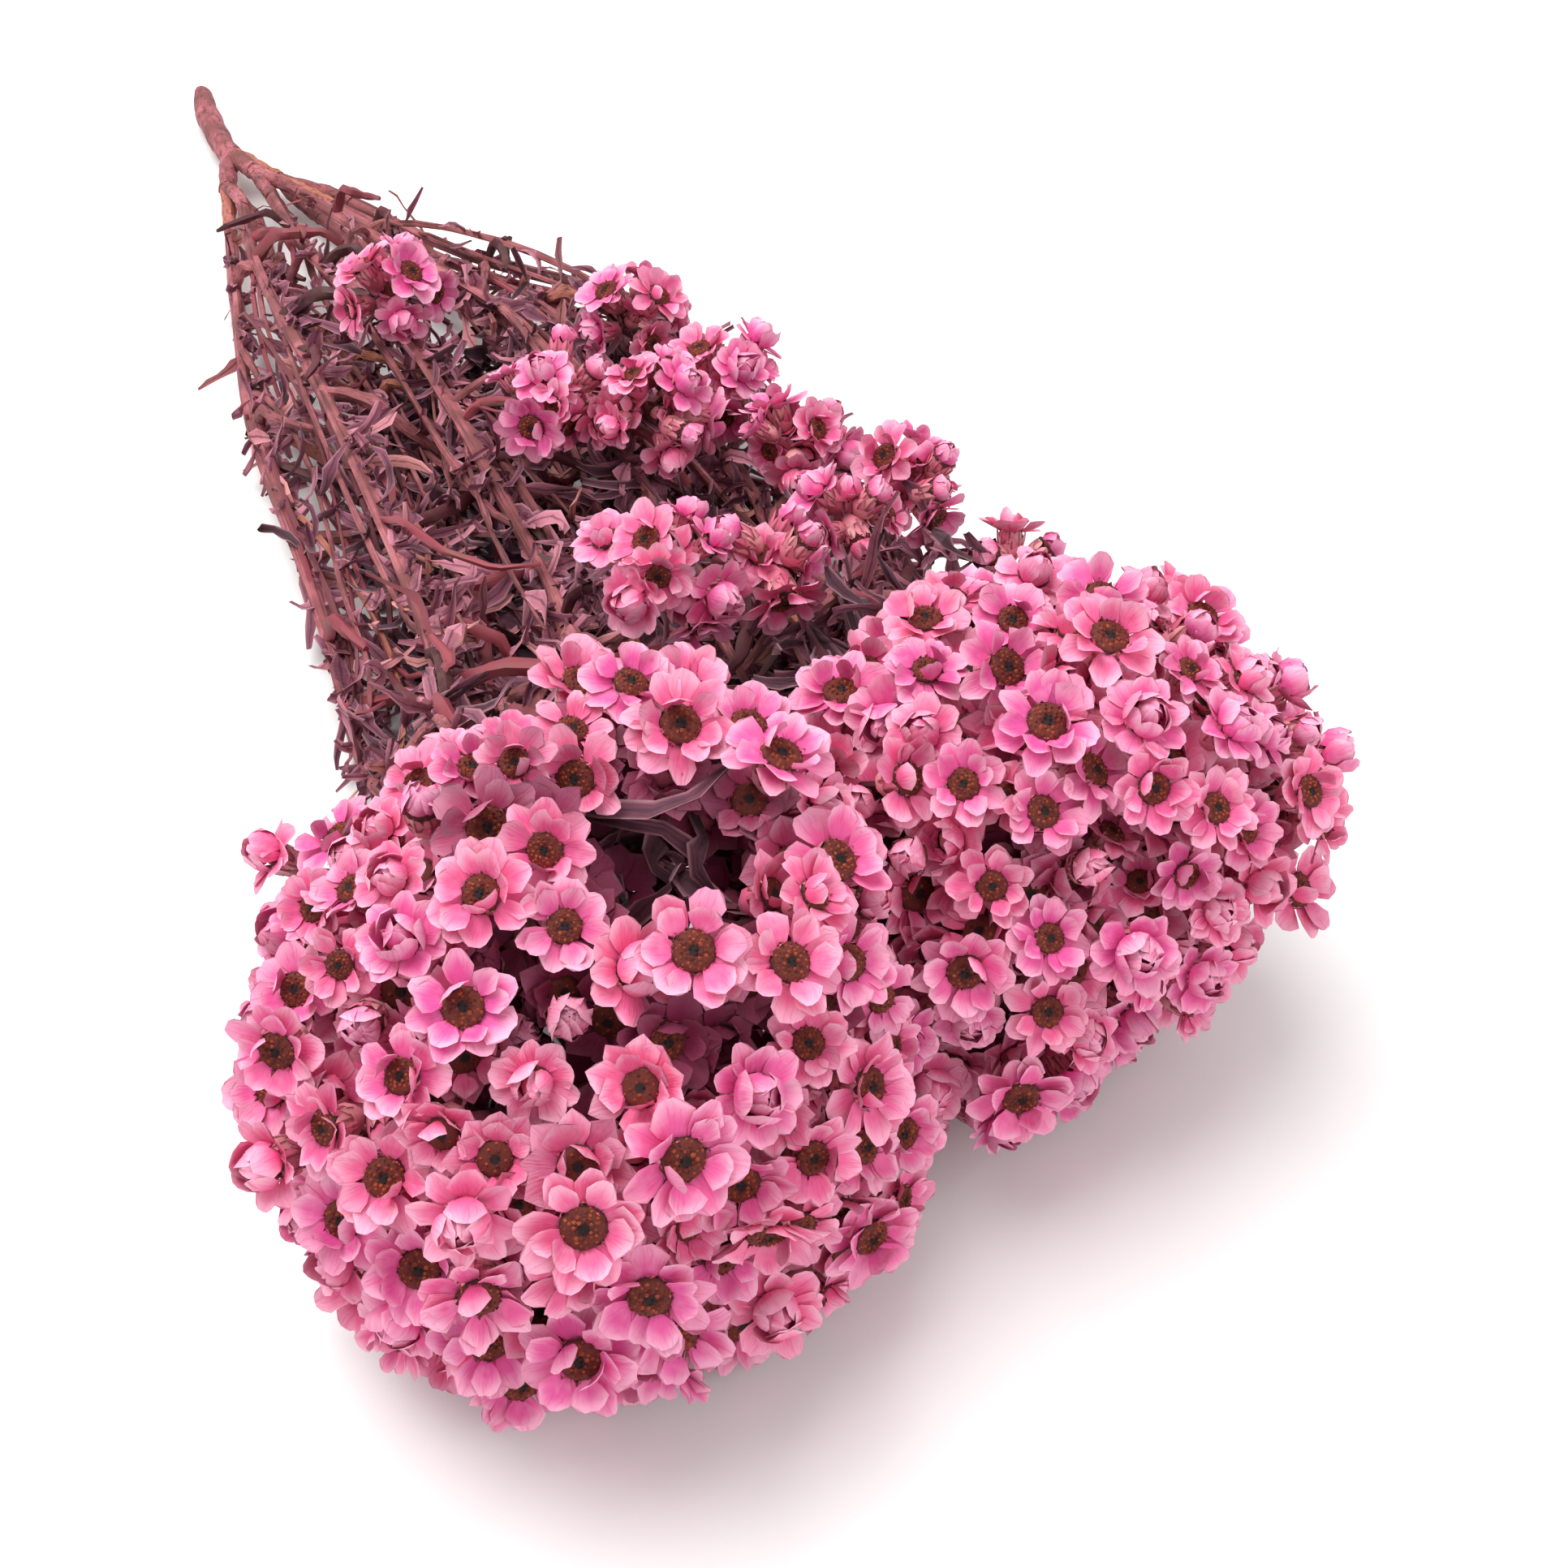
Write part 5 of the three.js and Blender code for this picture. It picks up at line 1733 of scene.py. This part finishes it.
class StemSettings(bpy.types.PropertyGroup):
    stem_leaves: count_value("Stem leaves", "Curly leaves on each stem", 76)
    ribbons: count_value("Ribbons", "Long ribbon-like leaves on each stem", 7)
    hooks: count_value("Hooks", "Bare bent side stems on each stem", 11)
    # Under leaves are coloured dark as painted shade.
    under_leaves: count_value("Under leaves", "Dark leaves low under each stem", 52)
    tufts: count_value("Tufts", "Shrivelled tufts on each stem", 26)
    strands: count_value("Strands", "Thin strands beside each stem", 7)
    strand_leaves: count_value("Strand leaves", "Curly leaves on a strand", 14)
    bark_rose: colour_value("Rose bark", "Dyed bark in the light", 178, 96, 106)
    bark_tan: colour_value("Tan bark", "Bark that took hardly any dye", 206, 128, 92)
    bark_brown: colour_value("Brown bark", "Bark that took less dye", 128, 70, 70)
    # Pale bark is painted highlight on the ridges, dark bark painted shade in the grooves.
    bark_ridge_highlight: colour_value("Pale bark", "Worn ridges", 196, 134, 130)
    bark_groove_shade: colour_value("Dark bark", "Grooves", 66, 30, 40)
    twig_dark: colour_value("Dark twig", "Darkest stalks", 74, 26, 36)
    twig_red: colour_value("Red twig", "Redder stalks", 150, 62, 74)
    twig_green: colour_value("Green twig", "Where the dye is thin", 104, 80, 58)
    leaf_plum: colour_value("Plum leaf", "Darker dried leaves", 122, 58, 84)
    leaf_rose: colour_value("Rose leaf", "Lighter dried leaves", 198, 120, 140)
    leaf_tan: colour_value("Tan leaf", "Leaves with little dye", 206, 138, 106)
    # The margin colour is painted highlight; the dark colour is shrivelled spots and painted shade.
    leaf_margin_highlight: colour_value("Leaf margin", "Rolled margins", 222, 166, 174)
    leaf_dark_spots_and_shade: colour_value("Leaf groove", "Grooves and shrivelled spots", 44, 14, 30)


class StageSettings(bpy.types.PropertyGroup):
    key_power: power_value("Key light", "Power of the big soft light", 13)
    fill_power: power_value("Fill light", "Power of the light beside the camera", 2.5)
    sky: FloatProperty(name="Sky", description="Strength of the light from all round", default=0.62, min=0)
    floor: colour_value("Floor", "The pale table", 250, 250, 250)


# Growing the pieces.

# The finishes of a stem's growth, by their number in the mesh.
BARK, LEAF, TWIG = range(3)
SPRAY_NUMBERS = 101
SPRAY_SEED = 3
STEM_LOOK_SEED = 7
STEM_LOOK_STEP = 131
STALK_SEED = 19
STALK_TONE = 0.5

# Radii of the sticks from root to tip, and how far hooks and strands taper.
PEDUNCLE_RADII = (PEDUNCLE_RADIUS * 0.9, PEDUNCLE_TIP_RADIUS * 0.6)
STEM_RADII = (STEM_RADIUS, STEM_RADIUS * 0.96, STEM_END_RADIUS)
ARM_RADII = (STEM_END_RADIUS * 0.95, ARM_RADIUS * 0.9)
STALK_RADII = (STALK_RADIUS * 0.8, STALK_RADIUS, STALK_RADIUS * 0.95, STALK_RADIUS * 0.9)
LIMB_RADII = (LIMB_RADIUS * 1.15, LIMB_RADIUS)
BRANCH_RADII = (LIMB_RADIUS * 0.85, FORK_TIP_RADIUS)
TWIG_RADII = (mm(0.7), mm(0.4))
HOOK_TAPER = 0.5
STRAND_TAPER = 0.8

# Sides and rings of the sticks.
PEDUNCLE_DETAIL = (7, 10)
STEM_DETAIL = (9, 54)
ARM_DETAIL = (7, 10)
STALK_DETAIL = (14, 24)
LIMB_DETAIL = (10, 10)
BRANCH_DETAIL = (9, 12)
TWIG_DETAIL = (5, 12)
HOOK_DETAIL = (6, 14)
STRAND_DETAIL = (5, 14)

# Steps of the lines of the stalk, its limbs and branches, and of the hooks, twigs and twisted leaves.
STALK_STEPS = 16
LIMB_STEPS = 8
BRANCH_STEPS = 9
HOOK_STEPS = 4
TWIG_STEPS = 12
TWIST_STEPS = 16

# Where growth stands on its stem: the first place, and the share of the stem that it covers.
LEAF_PLACES = (0.01, 0.98)
RIBBON_PLACES = (0.04, 0.9)
HOOK_PLACES = (0.08, 0.9)
UNDER_PLACES = (0.34, 0.64)
TUFT_PLACES = (0.04, 0.94)
STRAND_LEAF_PLACES = (0.02, 0.96)
TWIG_LEAF_PLACES = (0.45, 0.55)
LAST_PLACE = 0.98

# Tones from dark to pale: the darkest and the palest of each kind of leaf. The low tones of the leaves
# under the stems, inside the heads and in the hollow are painted shade.
SPRAY_LEAF_TONES = (0, 0.5)
RIBBON_TONES = (0.5, 1)
TUFT_TONES = (0.1, 0.75)
UNDER_SHADE_TONES = (0, 0.12)
CORE_SHADE_TONES = (0, 0.1)
TWIST_SHADE_TONES = (0, 0.12)
TWIG_LEAF_SHADE_TONES = (0, 0.15)

# Widths, as shares of the modelled leaf's, and twists in radians.
LEAF_WIDTH = 1.05
CURLY_WIDTHS = (0.7, 1.3)
STRAND_LEAF_WIDTH = 0.95
RIBBON_WIDTHS = (0.7, 1.2)
TUFT_WIDTHS = (0.9, 1.7)
UNDER_WIDTHS = (1.6, 2.4)
CORE_WIDTHS = (1.3, 2.3)
CURLY_TWIST = 7.0
RIBBON_TWIST = 2.5
TUFT_TWIST = 9.0
TWIST_TWIST = 3.5

# A curly leaf: most are short, it is narrower and paler where there is less room.
CURLY_LENGTH_POWER = 1.4
ROOM_WIDTHS = (0.5, 1)
ROOM_TONE = 0.5
# A strand's start, span, turns, share of the way to the next stem, rise, and how soon it swells out.
STRAND_START = (0.1, 0.55)
STRAND_SPAN = (0.3, 0.65)
STRAND_TURN = 16
STRAND_ACROSS = (0.1, 0.8)
STRAND_LIFT = mm(12)
STRAND_SWELL = 0.6
STRAND_RADIUS_POWER = 1.5
# The shares of ribbons and strands, and of hooks, that are twig and not bark.
TWIG_SHARE = 0.4
HOOK_TWIG_SHARE = 0.5
TUFT_SWAY = 0.02
TUFT_END = 0.99
BUNDLE_HEIGHT = mm(14)
CORE_ROOT = 0.96
# The hollow's twisted leaves and twigs: where they leave the arm, and how far the twigs bow.
TWIST_ROOT = 0.8
TWIG_ROOTS = (0.3, 0.9)
TWIG_BOW = 0.6


def finish_piece(clump, name, finishes, node):
    """Builds a piece that rides on the root and stands in for a node of the solids."""
    piece = clump.build(name, finishes)
    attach(piece, "root")
    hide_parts(node)


def grow_spray(spray, number):
    """A spray with its stalk, its blooms, those that fill its gaps, and a few leaves."""
    clump = Clump()
    first = number * SPRAY_NUMBERS
    draw = draws(SPRAY_SEED + first)
    add_stick(clump, spray.smooth, PEDUNCLE_RADII, PEDUNCLE_DETAIL, STICK_FINISH, draw(), draw)
    for k, bloom in enumerate([*spray.blooms, *spray.fill]):
        add_bloom(clump, bloom, first + k)
    for k in range(SPRAY_LEAVES):
        t = (k + draw()) / SPRAY_LEAVES
        add_curly_leaf(clump, spray.smooth, t, draw, finish=SPRAY_LEAF_FINISH, tones=SPRAY_LEAF_TONES)
    finishes = (stick_finish(), petal_finish(), eye_finish(), scale_finish(), leaf_finish())
    finish_piece(clump, spray.name + "_blooms", finishes, spray.name)


def bundle_value(y, column):
    """A column of the bundle's table, level with a point."""
    rows = [(row[0], row[column]) for row in reversed(BUNDLE)]
    return np.interp(y, *zip(*rows))


def bundle_middle(y):
    """The middle of the bundle of stems, level with a point."""
    return np.array([bundle_value(y, 1), y, BUNDLE_HEIGHT])


def kept_in(point, highest):
    """A point moved back into the bundle of stems where it lies outside it."""
    middle = bundle_value(point[1], 1)
    half = bundle_value(point[1], 2)
    return np.array([np.clip(point[0], middle - half, middle + half), point[1], min(point[2], highest)])


def kept_low(line, root):
    """A line kept in the bundle, and no higher over its root than a hook rises."""
    return np.array([kept_in(point, root[2] + HOOK_RISE) for point in line])


def bundle_room(y):
    """The share of its full size that a leaf has, level with a point: small where the stems part."""
    return min(bundle_value(y, 2) / FULL_ROOM, 1)


def spaced(places, k, count, draw):
    """The place of one of a count of things, each nudged a little."""
    return places[0] + places[1] * (k + draw()) / count


def bark_or_twig(draw, twigs=TWIG_SHARE):
    return BARK if draw() > twigs else TWIG


def strand_line(stem, other, draw):
    """A thin strand that leaves a stem, wanders towards the next one and comes back."""
    start = part_way(STRAND_START, draw())
    end = min(start + part_way(STRAND_SPAN, draw()), LAST_PLACE)
    phase = draw() * 2 * math.pi
    turn = nudge(draw) * STRAND_TURN
    across_share = part_way(STRAND_ACROSS, draw())
    rise = nudge(draw) * STRAND_LIFT
    line = []
    for k in range(STRAND_STEPS + 1):
        share = k / STRAND_STEPS
        swell = math.sin(math.pi * share) ** STRAND_SWELL
        t = part_way((start, end), share)
        here = along(stem.smooth, t)
        u, v = across(heading(stem.smooth, t))
        angle = phase + turn * share
        point = here + (along(other.smooth, t) - here) * across_share * swell
        point = point + (u * math.cos(angle) + v * math.sin(angle)) * STRAND_WAVE * swell
        point[2] = max(point[2] + rise * swell, LOWEST_LEAF)
        line.append(kept_in(point, here[2] + HOOK_RISE))
    return np.array(line)


def add_curly_leaf(clump, line, t, draw, width=1.0, finish=LEAF, tones=(0, 1)):
    """A curly leaf, left out at times where the bundle has little room."""
    room = bundle_room(along(line, t)[1])
    length = room * part_way(CURLY_LENGTH, draw() ** CURLY_LENGTH_POWER)
    if draw() > room**2:
        return
    tones = (part_way((tones[0], 1), (1 - room) * ROOM_TONE), tones[1])
    leaf = curl_from(line, t, draw, length)
    wide = width * part_way(ROOM_WIDTHS, room) * part_way(CURLY_WIDTHS, draw())
    add_leaf(clump, leaf, curly_shape(), draw, finish, wide, CURLY_TWIST, tones)


def add_ribbon(clump, line, t, draw):
    """A long broad leaf that bends over in one sweep."""
    root = along(line, t)
    room = bundle_room(root[1])
    length = room * part_way(RIBBON_LENGTH, draw())
    leaf = kept_low(curl_from(line, t, draw, length, RIBBON_BEND), root)
    finish = bark_or_twig(draw)
    wide = room * part_way(RIBBON_WIDTHS, draw())
    add_leaf(clump, leaf, leaf_shape(), draw, finish, wide, RIBBON_TWIST, RIBBON_TONES)


def add_hook(clump, line, t, draw):
    """A bare side stem that bends over like a hook."""
    root = along(line, t)
    length = bundle_room(root[1]) * part_way(HOOK_LENGTH, draw())
    bent = curl_from(line, t, draw, length, HOOK_BEND)
    bent[:, 2] += HOOK_RISE * np.sin(np.linspace(0, math.pi, len(bent)))
    hook = flowing(kept_low(bent, root)[::2], HOOK_STEPS)
    thick = part_way(HOOK_RADIUS, draw())
    finish = bark_or_twig(draw, HOOK_TWIG_SHARE)
    radii = (thick, thick, thick * HOOK_TAPER)
    add_stick(clump, hook, radii, HOOK_DETAIL, finish, draw(), draw, knobs=0.12)


def add_tuft(clump, line, t, draw):
    """A tuft of shrivelled scraps, tangled together, left out at times where there is little room."""
    root = along(line, t)
    room = bundle_room(root[1])
    if draw() > room**2:
        return
    for _ in range(TUFT_LEAVES):
        length = room * part_way(TUFT_LENGTH, draw())
        at = along(line, min(t + nudge(draw) * TUFT_SWAY, TUFT_END))
        shred = curly_line(at, heading(line, t), bundle_middle(root[1]), draw, length)
        wide = part_way(TUFT_WIDTHS, draw())
        add_leaf(clump, shred, shred_shape(), draw, LEAF, wide, TUFT_TWIST, TUFT_TONES)


def add_under_leaf(clump, line, t, draw):
    """A leaf low under the stems, coloured dark as painted shade."""
    root = along(line, t)
    middle = bundle_middle(root[1])
    beside = middle[0] + (root[0] - middle[0]) * UNDER_SPREAD + nudge(draw) * UNDER_SWAY
    root = np.array([beside, root[1], max(root[2] * UNDER_SHARE, LOWEST_LEAF)])
    leaf = curly_line(root, heading(line, t), middle, draw, UNDER_LENGTH, UNDER_BEND)
    leaf[:, 0] = middle[0] + (leaf[:, 0] - middle[0]) * UNDER_SPREAD
    leaf[:, 2] = np.clip(leaf[:, 2], LOWEST_LEAF, UNDER_TOP)
    wide = part_way(UNDER_WIDTHS, draw())
    add_leaf(clump, leaf, curly_shape(), draw, LEAF, wide, tones=UNDER_SHADE_TONES)


def add_strand(clump, stem, other, draw):
    """A strand between two stems, with curly leaves on it."""
    line = strand_line(stem, other, draw)
    thick = part_way(STRAND_RADIUS, draw() ** STRAND_RADIUS_POWER)
    finish = bark_or_twig(draw)
    add_stick(clump, line, (thick, thick * STRAND_TAPER), STRAND_DETAIL, finish, draw(), draw, knobs=0.14)
    count = bpy.context.scene.ixodia_stems.strand_leaves
    for k in range(count):
        add_curly_leaf(clump, line, spaced(STRAND_LEAF_PLACES, k, count, draw), draw, STRAND_LEAF_WIDTH)


def grow_tangle(clump, stem, index, neighbours):
    """What fills the room between the stems: leaves, ribbons, hooks, leaves dark as painted shade, tufts and
    strands.
    """
    settings = bpy.context.scene.ixodia_stems
    seeds = draws(STRAND_SEED + index * SEED_STEP)
    for add, count, places in (
        (add_curly_leaf, settings.stem_leaves, LEAF_PLACES),
        (add_ribbon, settings.ribbons, RIBBON_PLACES),
        (add_hook, settings.hooks, HOOK_PLACES),
        (add_under_leaf, settings.under_leaves, UNDER_PLACES),
        (add_tuft, settings.tufts, TUFT_PLACES),
    ):
        for k in range(count):
            draw = branch_draws(seeds)
            add(clump, stem.smooth, spaced(places, k, count, draw), draw)
    for k in range(settings.strands):
        add_strand(clump, stem, neighbours[k % len(neighbours)], branch_draws(seeds))


def add_core_leaves(clump, arm, draw):
    """Leaves that fill the inside of a head, from the end of the arm that carries its sprays, dark as painted
    shade.
    """
    root = along(arm, CORE_ROOT)
    centre = min((head.centre for head in HEADS.values()), key=lambda at: distance(root, at))
    if distance(root, centre) > CORE_REACH:
        return
    for _ in range(CORE_LEAVES):
        aside = sway(draw) * CORE_ROOM
        bow = sway(draw) * CORE_BOW
        leaf = bezier(root, (root + centre) / 2 + bow, centre + aside, CURLY_STEPS)
        wide = part_way(CORE_WIDTHS, draw())
        add_leaf(clump, leaf, curly_shape(), draw, LEAF, wide, tones=CORE_SHADE_TONES)


def grow_hollow(clump, stem):
    """The twisted leaves and dark hooked twigs at the bottom of the left head's hollow, the leaves dark as
    painted shade.
    """
    draw = draws(HOLLOW_SEED + 1)
    arm = stem.smooth_arms[0]
    head = HEADS["left"]
    for points, width in HOLLOW_TWISTS:
        line = flowing([along(arm, TWIST_ROOT), *points], TWIST_STEPS)
        add_leaf(clump, line, leaf_shape(), draw, LEAF, width, TWIST_TWIST, TWIST_SHADE_TONES)
    u, v = across(unit(HOLLOW))
    for k in range(HOLLOW_TWIGS):
        angle = k * GOLDEN_ANGLE
        reach = HOLLOW_ROOM * math.sqrt((k + 0.5) / HOLLOW_TWIGS)
        aside = (u * math.cos(angle) + v * math.sin(angle)) * reach
        depth = HOLLOW_DEPTH[0] + HOLLOW_DEPTH[1] * draw()
        tip = head.centre + unit(HOLLOW) * (head.radius - depth) + aside
        start = along(arm, part_way(TWIG_ROOTS, draw()))
        twig = bezier(start, (start + tip) / 2 - aside * TWIG_BOW, tip, TWIG_STEPS)
        add_stick(clump, twig, TWIG_RADII, TWIG_DETAIL, TWIG, draw(), draw, knobs=0.15)
        for j in range(HOLLOW_TWIG_LEAVES):
            t = min(spaced(TWIG_LEAF_PLACES, j, HOLLOW_TWIG_LEAVES, draw), LAST_PLACE)
            add_curly_leaf(clump, twig, t, draw, tones=TWIG_LEAF_SHADE_TONES)


def grow_stem(stems, index):
    """A leafy stem with its arms, its leaves and what is tangled round it."""
    clump = Clump()
    stem = stems[index]
    draw = draws(STEM_LOOK_SEED + index * STEM_LOOK_STEP)
    add_stick(clump, stem.smooth, STEM_RADII, STEM_DETAIL, BARK, draw(), draw, knobs=0.14)
    for arm in stem.smooth_arms:
        add_stick(clump, arm, ARM_RADII, ARM_DETAIL, BARK, draw(), draw)
    for k, curve in enumerate(stem.leaves):
        width = HOLLOW_WIDTH if k >= stem.hollow_from else LEAF_WIDTH * bundle_room(curve[0][1])
        add_leaf(clump, wavy(curve, draw), leaf_shape(), draw, LEAF, width)
    for arm in stem.smooth_arms:
        add_core_leaves(clump, arm, draws(CORE_SEED + index * SEED_STEP))
    if index == HOLLOW_STEM:
        grow_hollow(clump, stem)
    grow_tangle(clump, stem, index, [stems[k] for k in (index - 1, index + 1) if 0 <= k < len(stems)])
    finishes = (bark_finish(), leaf_finish(), stick_finish())
    finish_piece(clump, stem.name + "_growth", finishes, stem.name)


def grow_stalk(stems):
    """The woody stalk, its three limbs and the branches that meet the stems."""
    clump = Clump()
    draw = draws(STALK_SEED)
    trunk = bezier(CUT_END, STALK_BEND, FORK, STALK_STEPS)
    add_stick(clump, trunk, STALK_RADII, STALK_DETAIL, BARK, STALK_TONE, draw, knobs=0.05)
    for fork, indices in LIMBS:
        middle = FORK + (fork - FORK) * 0.5 + FORK_SINK
        limb = bezier(FORK + FORK_SINK, middle, fork, LIMB_STEPS)
        add_stick(clump, limb, LIMB_RADII, LIMB_DETAIL, BARK, draw(), draw)
        for index in indices:
            ahead = heading(stems[index].spine, 0)
            tip = stems[index].spine[0] - ahead * GAP
            root = tip - ahead * ARM_TIP
            control = tip - ahead * FORK_BEND
            branch = np.vstack([bezier(fork, control, root, BRANCH_STEPS), tip])
            add_stick(clump, branch, BRANCH_RADII, BRANCH_DETAIL, BARK, draw(), draw)
    finish_piece(clump, "stalk_bark", (bark_finish(),), "stalk")


class IXODIA_OT_stalk(bpy.types.Operator):
    """Grow the woody stalk and its forks"""

    bl_idname = "ixodia.stalk"
    bl_label = "Stalk"

    def execute(self, context):
        grow_stalk(bunch().stems)
        return {"FINISHED"}


class IXODIA_OT_leafy_stems(bpy.types.Operator):
    """Grow the leafy stems with their twigs and tufts"""

    bl_idname = "ixodia.leafy_stems"
    bl_label = "Leafy stems"

    def execute(self, context):
        for index in range(len(STEMS)):
            grow_stem(bunch().stems, index)
        return {"FINISHED"}


class IXODIA_OT_sprays(bpy.types.Operator):
    """Grow the sprays of blooms, those of the two heads and the small ones beside them"""

    bl_idname = "ixodia.sprays"
    bl_label = "Sprays of blooms"

    def execute(self, context):
        for number, spray in enumerate((*bunch().heads, *bunch().side_sprays)):
            grow_spray(spray, number)
        return {"FINISHED"}


# The stage: the table, what the lights point at, and their places, sizes and colours.
TABLE_SIZE = 12
TABLE_ROUGHNESS = 0.3
LIGHT_TARGET = mm(-5, -90, 25)
KEY_PLACE = mm(-250, 110, 980)
KEY_SIZE = 1.1
KEY_COLOUR = (1, 0.985, 0.97)
BESIDE_PLACE = mm(250, -900, 600)
BESIDE_SIZE = 0.9
BESIDE_COLOUR = (1, 0.99, 1)


def add_light(name, place, size, power, colour):
    """A round soft light that points at the bunch."""
    lamp = bpy.data.lights.new(name, "AREA")
    lamp.shape = "DISK"
    lamp.size = size
    lamp.energy = power
    lamp.color = colour
    light = bpy.data.objects.new(name, lamp)
    bpy.context.scene.collection.objects.link(light)
    light.location = place
    aim = unit(LIGHT_TARGET - place)
    light.rotation_euler = (math.acos(-aim[2]), 0, math.atan2(-aim[0], aim[1]))


class IXODIA_OT_stage(bpy.types.Operator):
    """Set the pale floor, the soft light and the camera"""

    bl_idname = "ixodia.stage"
    bl_label = "Stage"

    def execute(self, context):
        settings = context.scene.ixodia_stage
        bpy.ops.object.select_all(action="DESELECT")
        bpy.ops.mesh.primitive_plane_add(size=TABLE_SIZE)
        floor = context.object
        floor.name = "floor"
        table = Finish("pale_table", roughness=TABLE_ROUGHNESS)
        table.shader.inputs["Base Color"].default_value = (*settings.floor, 1)
        floor.data.materials.append(table.material)
        add_light("key", KEY_PLACE, KEY_SIZE, settings.key_power, KEY_COLOUR)
        add_light("fill", BESIDE_PLACE, BESIDE_SIZE, settings.fill_power, BESIDE_COLOUR)
        world = bpy.data.worlds.new("soft_white")
        world.use_nodes = True
        background = world.node_tree.nodes["Background"]
        background.inputs["Color"].default_value = (1, 1, 1, 1)
        background.inputs["Strength"].default_value = settings.sky
        context.scene.world = world
        lens = bpy.data.cameras.new("camera")
        lens.lens = CAMERA_LENS
        camera = bpy.data.objects.new("camera", lens)
        context.scene.collection.objects.link(camera)
        camera.location = CAMERA_PLACE
        camera.rotation_euler = (math.pi / 2 - CAMERA_PITCH, 0, -CAMERA_HEADING)
        context.scene.camera = camera
        context.scene.view_settings.view_transform = "Standard"
        return {"FINISHED"}


class IXODIA_PT_bunch(bpy.types.Panel):
    """The bunch's settings and its steps"""

    bl_label = "Dried ixodia"
    bl_idname = "IXODIA_PT_bunch"
    bl_space_type = "VIEW_3D"
    bl_region_type = "UI"
    bl_category = "Ixodia"

    def draw(self, context):
        layout = self.layout
        for settings in (context.scene.ixodia_blooms, context.scene.ixodia_stems, context.scene.ixodia_stage):
            box = layout.box()
            for name in settings.bl_rna.properties.keys():
                if name not in ("rna_type", "name"):
                    box.prop(settings, name)
        for operator in OPERATORS:
            layout.operator(operator.bl_idname)


OPERATORS = (IXODIA_OT_stage, IXODIA_OT_stalk, IXODIA_OT_leafy_stems, IXODIA_OT_sprays)
CLASSES = (BloomSettings, StemSettings, StageSettings, *OPERATORS, IXODIA_PT_bunch)


def register():
    for each in CLASSES:
        bpy.utils.register_class(each)
    bpy.types.Scene.ixodia_blooms = PointerProperty(type=BloomSettings)
    bpy.types.Scene.ixodia_stems = PointerProperty(type=StemSettings)
    bpy.types.Scene.ixodia_stage = PointerProperty(type=StageSettings)


def unregister():
    for name in ("ixodia_blooms", "ixodia_stems", "ixodia_stage"):
        delattr(bpy.types.Scene, name)
    for each in reversed(CLASSES):
        bpy.utils.unregister_class(each)


def main():
    register()
    bpy.ops.ixodia.stage()
    bpy.ops.ixodia.stalk()
    bpy.ops.ixodia.leafy_stems()
    bpy.ops.ixodia.sprays()


if __name__ == "__main__":
    main()
